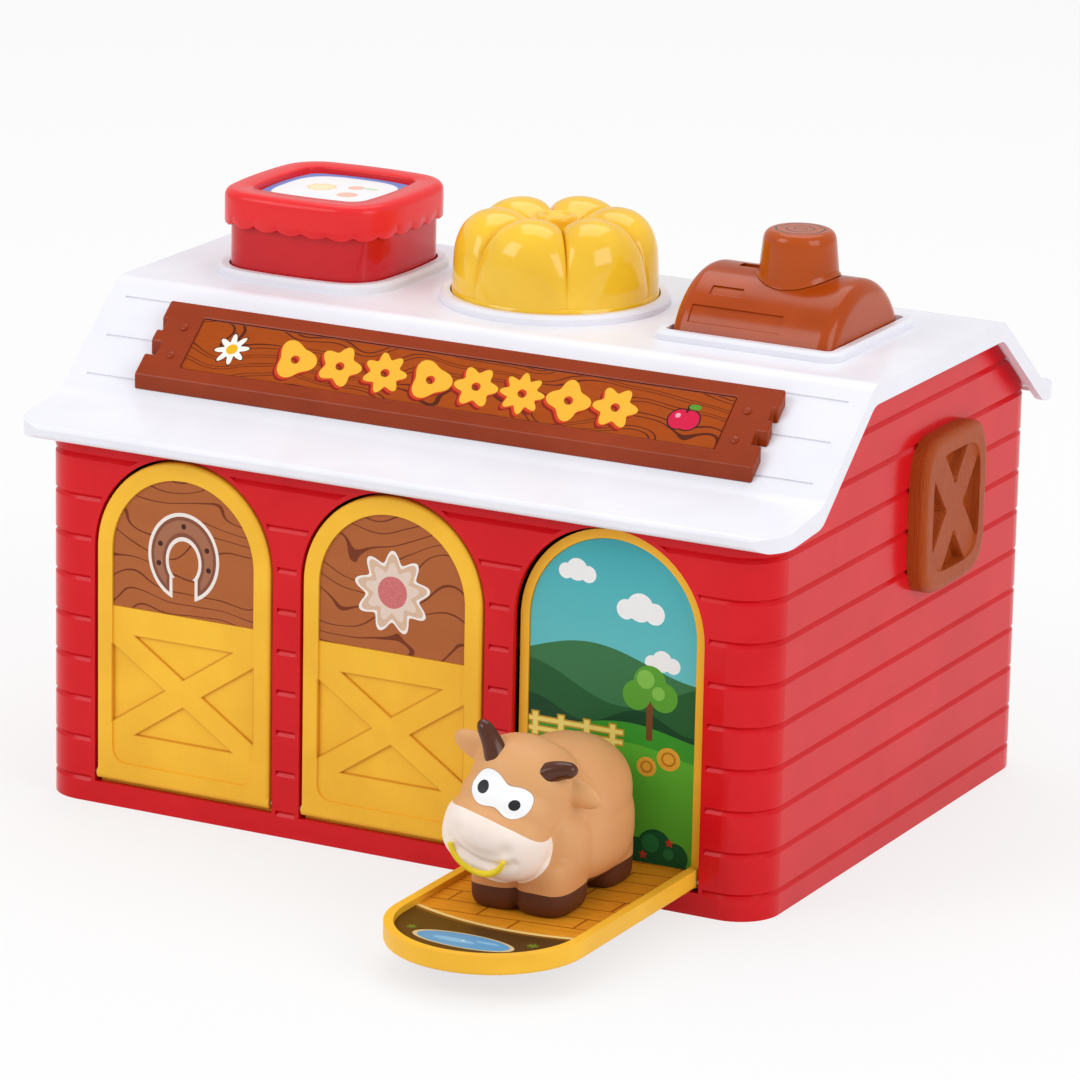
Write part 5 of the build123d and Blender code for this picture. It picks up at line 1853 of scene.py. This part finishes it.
@dataclass
class Bull(Figure):
    """The bull on the open right door, with its horns and its ring. The mouth's and the ring's spans are
    angles in degrees."""

    head: Head = Head((-3.0, -50.5, 37.0), 14.0)
    trunk: Blocks = (((-0.4, -28.5, 29.4), (19.4, 24.5, 18.2), (0.95, 0.9)),
                     ((0.0, -29.0, 19.0), (19.2, 24.0, 16.2), (0.7, 0.75)),
                     ((0.0, -46.0, 19.0), (17.5, 13.5, 16.4), (0.75, 0.8)),
                     ((-0.8, -40.0, 31.0), (17.6, 16.0, 14.6), (0.9, 0.9)))
    legs: Blocks = (((7.7, -50.5, 8.6), (8.8, 11.6, 9.4), (0.42, 0.6)),
                    ((8.2, -19.0, 8.6), (8.4, 9.6, 9.4), (0.42, 0.6)))
    skull: Blocks = (((0.0, 2.0, 0.5), (17.0, 15.0, 14.0), (0.85, 0.9)),
                     ((0.2, -4.5, -5.0), (16.4, 13.5, 11.5), (0.9, 0.9)),
                     ((0.5, -11.0, -13.2), (17.2, 11.2, 11.8), (0.75, 0.85)),
                     ((0.5, -15.8, -10.2), (12.8, 8.2, 7.2), (0.9, 0.95)))
    ear: Triple = (9.2, 2.8, 4.4)
    ears: tuple[tuple[Triple, float], ...] = (((-17.8, 2.0, 5.0), 6.0), ((16.6, 1.6, 5.0), 4.0))
    mouth_span: tuple[float, float] = (205.0, 335.0)
    nostril: Triple = (0.5, -21.0, -11.6)
    nostril_side: float = 8.2
    ring_span: tuple[float, float] = (196.0, 356.0)
    muzzle: Triple = (0.5, -11.6, -13.2)
    muzzle_half: Triple = (17.2, 11.2, 11.4)
    horns: tuple[Horn, ...] = (Horn((-6.8, -6.0, 6.0), (-17.0, -4.6, 16.4), 4.3, 2.1, 1.0),
                               Horn((7.4, -5.0, 7.6), (17.4, -3.0, 13.2), 3.8, 2.2, -1.2))

    def face(self) -> list[Patch]:
        """The skull and the ears, in the figure's frame.

        Returns:
            The parts.
        """
        leaf = blob((0.0, 0.0, 0.0), self.ear)
        parts = rounds(self.skull) + [leaf.turned("Y", droop).moved(centre) for centre, droop in self.ears]
        return [self.head.placed(part) for part in parts]

    def mouth(self) -> Array:
        """The mouth's line: the lower part of an ellipse, whose ends fall back by the square of the cosine.

        Returns:
            The line's points in the figure's frame.
        """
        turn = np.linspace(*np.radians(self.mouth_span), 60)
        return np.array([self.head.at((0.9 + 11.6 * cos(t), -22.0 + 3.4 * cos(t) ** 2, -13.2 + 5.6 * sin(t)))
                         for t in turn])

    def skin(self) -> Patch:
        """The melted animal with its mouth and nostrils pressed in.

        Returns:
            The closed skin.
        """
        parts = rounds(self.trunk) + paired(self.legs) + self.face()
        skin = pressed(melted(parts, self.voxel, self.passes), self.mouth(), 1.4, 1.7)
        middle, out, up = self.nostril
        for side in (-1, 1):
            nostril = self.head.at((middle + side * self.nostril_side, out, up))
            skin = pressed(skin, np.array([nostril]), 2.0, 0.9)
        return skin

    def ring(self) -> Patch:
        """The ring: an arc of an ellipse that lies on the muzzle's bulge, a power of what is left of one
        when the squares of both shares of the muzzle's half sizes are taken off. It is thickest in its
        middle.

        Returns:
            The closed ring.
        """
        sweep = np.linspace(*np.radians(self.ring_span), 60)
        x, z = -0.2 + 9.5 * np.cos(sweep), -14.6 + 8.4 * np.sin(sweep)
        (across, out, up), (wide, deep, high) = self.muzzle, self.muzzle_half
        bulge = np.sqrt(np.clip(1 - ((x - across) / wide) ** 2 - ((z - up) / high) ** 2, 0.03, 1))
        y = out - deep * bulge ** 0.55
        path = np.array([self.head.at(point) for point in zip(x, y, z)])
        return tube(path, 0.75 + 0.4 * np.sin(np.linspace(0, pi, 60)), FORWARD)

    def build(self) -> None:
        """Build and dress the bull, its horns and its ring."""
        tan = FaceVinyl("bull_skin", "DDA269", "C67E42", "572B16", head=self.head)
        self.add("skin", self.skin(), tan, True)
        self.add("horns", joined([horn.grown(self.head) for horn in self.horns]), HORN_BROWN, sharp=60)
        self.add("ring", self.ring(), RING_YELLOW, sharp=60)


@dataclass
class Horse(Figure):
    """The horse on the left door."""

    side: str = "left"
    animal: str = "horse"
    head: Head = Head((0.0, -59.0, 53.0))
    trunk: Blocks = (((0.0, -27.5, 29.5), (15.8, 22.8, 14.0), (0.85, 0.9)),
                     ((0.0, -46.0, 42.0), (9.6, 10.0, 17.5), (0.85, 0.9)),
                     ((0.0, -58.0, 54.0), (10.8, 12.0, 10.6), (0.9, 0.9)),
                     ((0.0, -66.8, 46.5), (9.4, 7.6, 7.6), (0.9, 0.9)),
                     ((0.0, -5.6, 30.0), (3.6, 3.2, 9.0), (0.9, 0.9)))
    legs_and_ears: Blocks = (((8.4, -14.5, 12.0), (6.6, 6.8, 13.0), (0.5, 0.85)),
                             ((8.4, -41.5, 12.0), (6.6, 6.8, 13.0), (0.5, 0.85)),
                             ((6.6, -53.5, 64.0), (2.8, 2.4, 6.0), (0.9, 0.9)))
    mane: Blocks = (((0.0, -56.5, 62.0), (5.4, 7.0, 4.2)), ((0.0, -46.5, 58.0), (4.2, 5.0, 5.0)),
                    ((0.0, -40.2, 50.5), (3.9, 4.6, 5.4)), ((0.0, -36.8, 43.0), (3.4, 3.8, 4.6)),
                    ((0.0, -5.2, 27.0), (4.2, 3.6, 7.6)))

    def build(self) -> None:
        """Build and dress the horse and its mane."""
        chestnut = FaceVinyl("horse_skin", "B9794A", "94562F", "4A2A1C", head=self.head,
                             muzzle=(0.0, -8.0, -7.0), muzzle_half=(9.8, 8.6, 8.2), muzzle_top=-1.5,
                             cream="D9B48C", eyes=((-5.6, 3.4, 2.9, 1.7), (5.6, 3.4, 2.9, 1.7)), bridge=0.01)
        skin = melted(rounds(self.trunk) + paired(self.legs_and_ears), self.voxel, self.passes)
        self.add("skin", skin, chestnut, True)
        self.add("mane", melted(rounds(self.mane), 0.5, 6), HORN_BROWN)


@dataclass
class Sheep(Figure):
    """The sheep on the middle door: woolly rounds over a plain face."""

    side: str = "middle"
    animal: str = "sheep"
    head: Head = Head((0.0, -54.0, 43.0))
    core: Blocks = (((0.0, -27.0, 29.0), (17.6, 21.6, 16.6)), ((0.0, -50.0, 54.0), (12.0, 10.0, 6.5)))
    curls: int = 90
    curl: Triple = (4.0, 4.0, 4.0)
    fleece: Triple = (0.0, -27.0, 29.0)
    fleece_half: Triple = (16.0, 20.0, 15.5)
    fringe_curl: Triple = (5.2, 6.4, 5.0)
    muzzle: Blocks = (((0.0, -54.5, 42.5), (13.4, 12.4, 13.0), (0.9, 0.9)),
                      ((0.0, -62.0, 38.5), (8.4, 6.4, 6.4), (0.9, 0.9)))
    ears_and_legs: Blocks = (((16.8, -51.5, 46.0), (6.6, 2.7, 4.2), (0.9, 0.85)),
                             ((9.0, -14.5, 9.0), (6.2, 6.2, 10.0), (0.5, 0.85)),
                             ((9.0, -41.5, 9.0), (6.2, 6.2, 10.0), (0.5, 0.85)))

    def wool(self) -> list[Patch]:
        """Rounds all over the body: even steps in height, each turned from the last by the golden angle,
        which is pi times three less the root of five.

        Returns:
            The rounds.
        """
        step = np.arange(self.curls)
        height = 1 - 2 * (step + 0.5) / self.curls
        turn = step * pi * (3 - sqrt(5))
        reach = np.sqrt(1 - height ** 2)
        ball = np.stack([reach * np.cos(turn), reach * np.sin(turn), height], axis=1)
        centres = np.array(self.fleece) + np.array(self.fleece_half) * ball
        return [blob(tuple(centre), self.curl, rows=12, around=18) for centre in centres]

    def fringe(self) -> list[Patch]:
        """Larger rounds over the brow, along a quarter of an ellipse on either side.

        Returns:
            The rounds.
        """
        places = [(side * 9.5 * cos(turn), -50.0 - 5.5 * cos(turn), 55.5 + 2.6 * sin(turn))
                  for side in (-1, 1) for turn in np.linspace(0.2, 1.5, 4)]
        return [blob(place, self.fringe_curl, rows=14, around=20) for place in places]

    def build(self) -> None:
        """Build and dress the sheep's wool and its face and legs."""
        fleece = melted(rounds(self.core) + self.wool() + self.fringe(), self.voxel, 4)
        self.add("wool", fleece, WOOL_CREAM, True)
        pink = FaceVinyl("sheep_skin", "F0D3BE", "E2B49C", "6A4A3C", head=self.head, muzzle=(0.0, -9.0, -6.0),
                         muzzle_half=(8.6, 6.8, 6.8), muzzle_top=-0.5, cream="F6E3D6",
                         eyes=((-5.4, 4.2, 2.6, 1.6), (5.4, 4.2, 2.6, 1.6)), bridge=0.01)
        face = melted(rounds(self.muzzle) + paired(self.ears_and_legs), self.voxel, self.passes)
        self.add("face", face, pink)


@dataclass
class Studio:
    """A pale floor, soft lamps and the photograph's camera. Lengths here are in metres, but for the lens and
    its film, which are in millimetres. A lamp is its name, place, size and power."""

    eye: Triple = (0.9073, -1.7404, 0.6317)
    azimuth: float = 27.545
    elevation: float = 15.689
    roll: float = 1.138
    lens: float = 208.2
    film: float = 36.0
    floor_size: float = 14.0
    floor_drop: float = 0.00005
    ambient: float = 0.62
    floor_glow: float = 0.72
    lamps: tuple[tuple[str, Triple, float, float], ...] = (
        ("key_lamp", (-1.3, -1.7, 1.6), 1.3, 17.0),
        ("side_lamp", (1.9, -0.5, 1.1), 1.2, 13.0),
        ("top_lamp", (-0.2, 0.7, 2.0), 1.6, 15.0))
    aim: Triple = (0.0, 0.0, 0.08)

    def camera(self) -> None:
        """Stand the camera where the photograph was taken."""
        azimuth, elevation, roll = radians(self.azimuth), radians(self.elevation), radians(self.roll)
        back = Vector((sin(azimuth) * cos(elevation), -cos(azimuth) * cos(elevation), sin(elevation)))
        right = Vector((0, 0, 1)).cross(back).normalized()
        up = back.cross(right)
        tilted_right = right * cos(roll) + up * sin(roll)
        tilted_up = up * cos(roll) - right * sin(roll)
        data = bpy.data.cameras.new("photo_camera")
        data.lens, data.sensor_width = self.lens, self.film
        seen = bpy.data.objects.new("photo_camera", data)
        axes = Matrix((tilted_right, tilted_up, back)).transposed()
        seen.matrix_world = Matrix.Translation(self.eye) @ axes.to_4x4()
        bpy.context.scene.collection.objects.link(seen)
        bpy.context.scene.camera = seen

    def lamp(self, name: str, place: Triple, size: float, power: float) -> None:
        """One square soft lamp, turned to the object.

        Args:
            name: the lamp's name.
            place: where it hangs.
            size: the length of its side.
            power: its power in watts.
        """
        data = bpy.data.lights.new(name, "AREA")
        data.size, data.energy = size, power
        lamp = bpy.data.objects.new(name, data)
        lamp.location = place
        lamp.rotation_euler = (Vector(self.aim) - Vector(place)).to_track_quat("-Z", "Y").to_euler()
        bpy.context.scene.collection.objects.link(lamp)

    def seen_by(self, graph: Graph, *rays: str) -> Value:
        """1 for rays of the kinds that the Light Path node has under these names, and 0 for others."""
        path = graph.node("ShaderNodeLightPath", {}, {})
        return reduce(add, [Value(graph, path.outputs[name]) for name in rays]).held()

    def floor(self) -> None:
        """The pale floor: a wide sheet that the camera sees partly as lit and partly as plain white."""
        half, drop = self.floor_size / 2, self.floor_drop
        mesh = bpy.data.meshes.new("studio_floor")
        places = [(x * half, y * half, -drop) for x, y in ((-1, -1), (1, -1), (1, 1), (-1, 1))]
        mesh.from_pydata(places, [], [(0, 1, 2, 3)])
        sheet = bpy.data.objects.new("studio_floor", mesh)
        bpy.context.scene.collection.objects.link(sheet)
        graph = Graph.fresh("studio_floor")
        lit = graph.node("ShaderNodeBsdfDiffuse", {}, {"Color": (0.86, 0.86, 0.87, 1.0)})
        plain = graph.node("ShaderNodeEmission", {}, {"Color": WHITE, "Strength": 1.0})
        share = self.seen_by(graph, "Is Camera Ray", "Is Glossy Ray", "Is Transmission Ray") * self.floor_glow
        both = graph.node("ShaderNodeMixShader", {}, {0: share, 1: lit.outputs[0], 2: plain.outputs[0]})
        graph.node("ShaderNodeOutputMaterial", {}, {"Surface": both.outputs[0]})
        mesh.materials.append(graph.material)

    def world(self) -> None:
        """An even pale surround: plain white to the camera, dimmer as a light."""
        world = bpy.data.worlds.new("studio_world")
        graph = Graph(world)
        seen = self.seen_by(graph, "Is Camera Ray", "Is Transmission Ray")
        strength = seen * (1 - self.ambient) + self.ambient
        glow = graph.node("ShaderNodeBackground", {}, {"Color": WHITE, "Strength": strength})
        graph.node("ShaderNodeOutputWorld", {}, {"Surface": glow.outputs[0]})
        bpy.context.scene.world = world

    def build(self) -> None:
        """Set up the floor, the surround, the lamps and the camera."""
        self.camera()
        self.floor()
        self.world()
        for lamp in self.lamps:
            self.lamp(*lamp)
        bpy.context.scene.view_settings.view_transform = "Standard"


def main() -> None:
    """Build every sub-assembly in order."""
    logging.basicConfig(level=logging.INFO, format="%(name)s %(message)s")
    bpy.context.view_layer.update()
    parts = (Studio(), Barn(), Roof(), SignBoard(), Shutters(), Doors(), Jar(), Pumpkin(), LogAndStump(),
             Bull(), Horse(), Sheep())
    for part in parts:
        part.build()
        log.info("%s built", type(part).__name__)


if __name__ == "__main__":
    main()
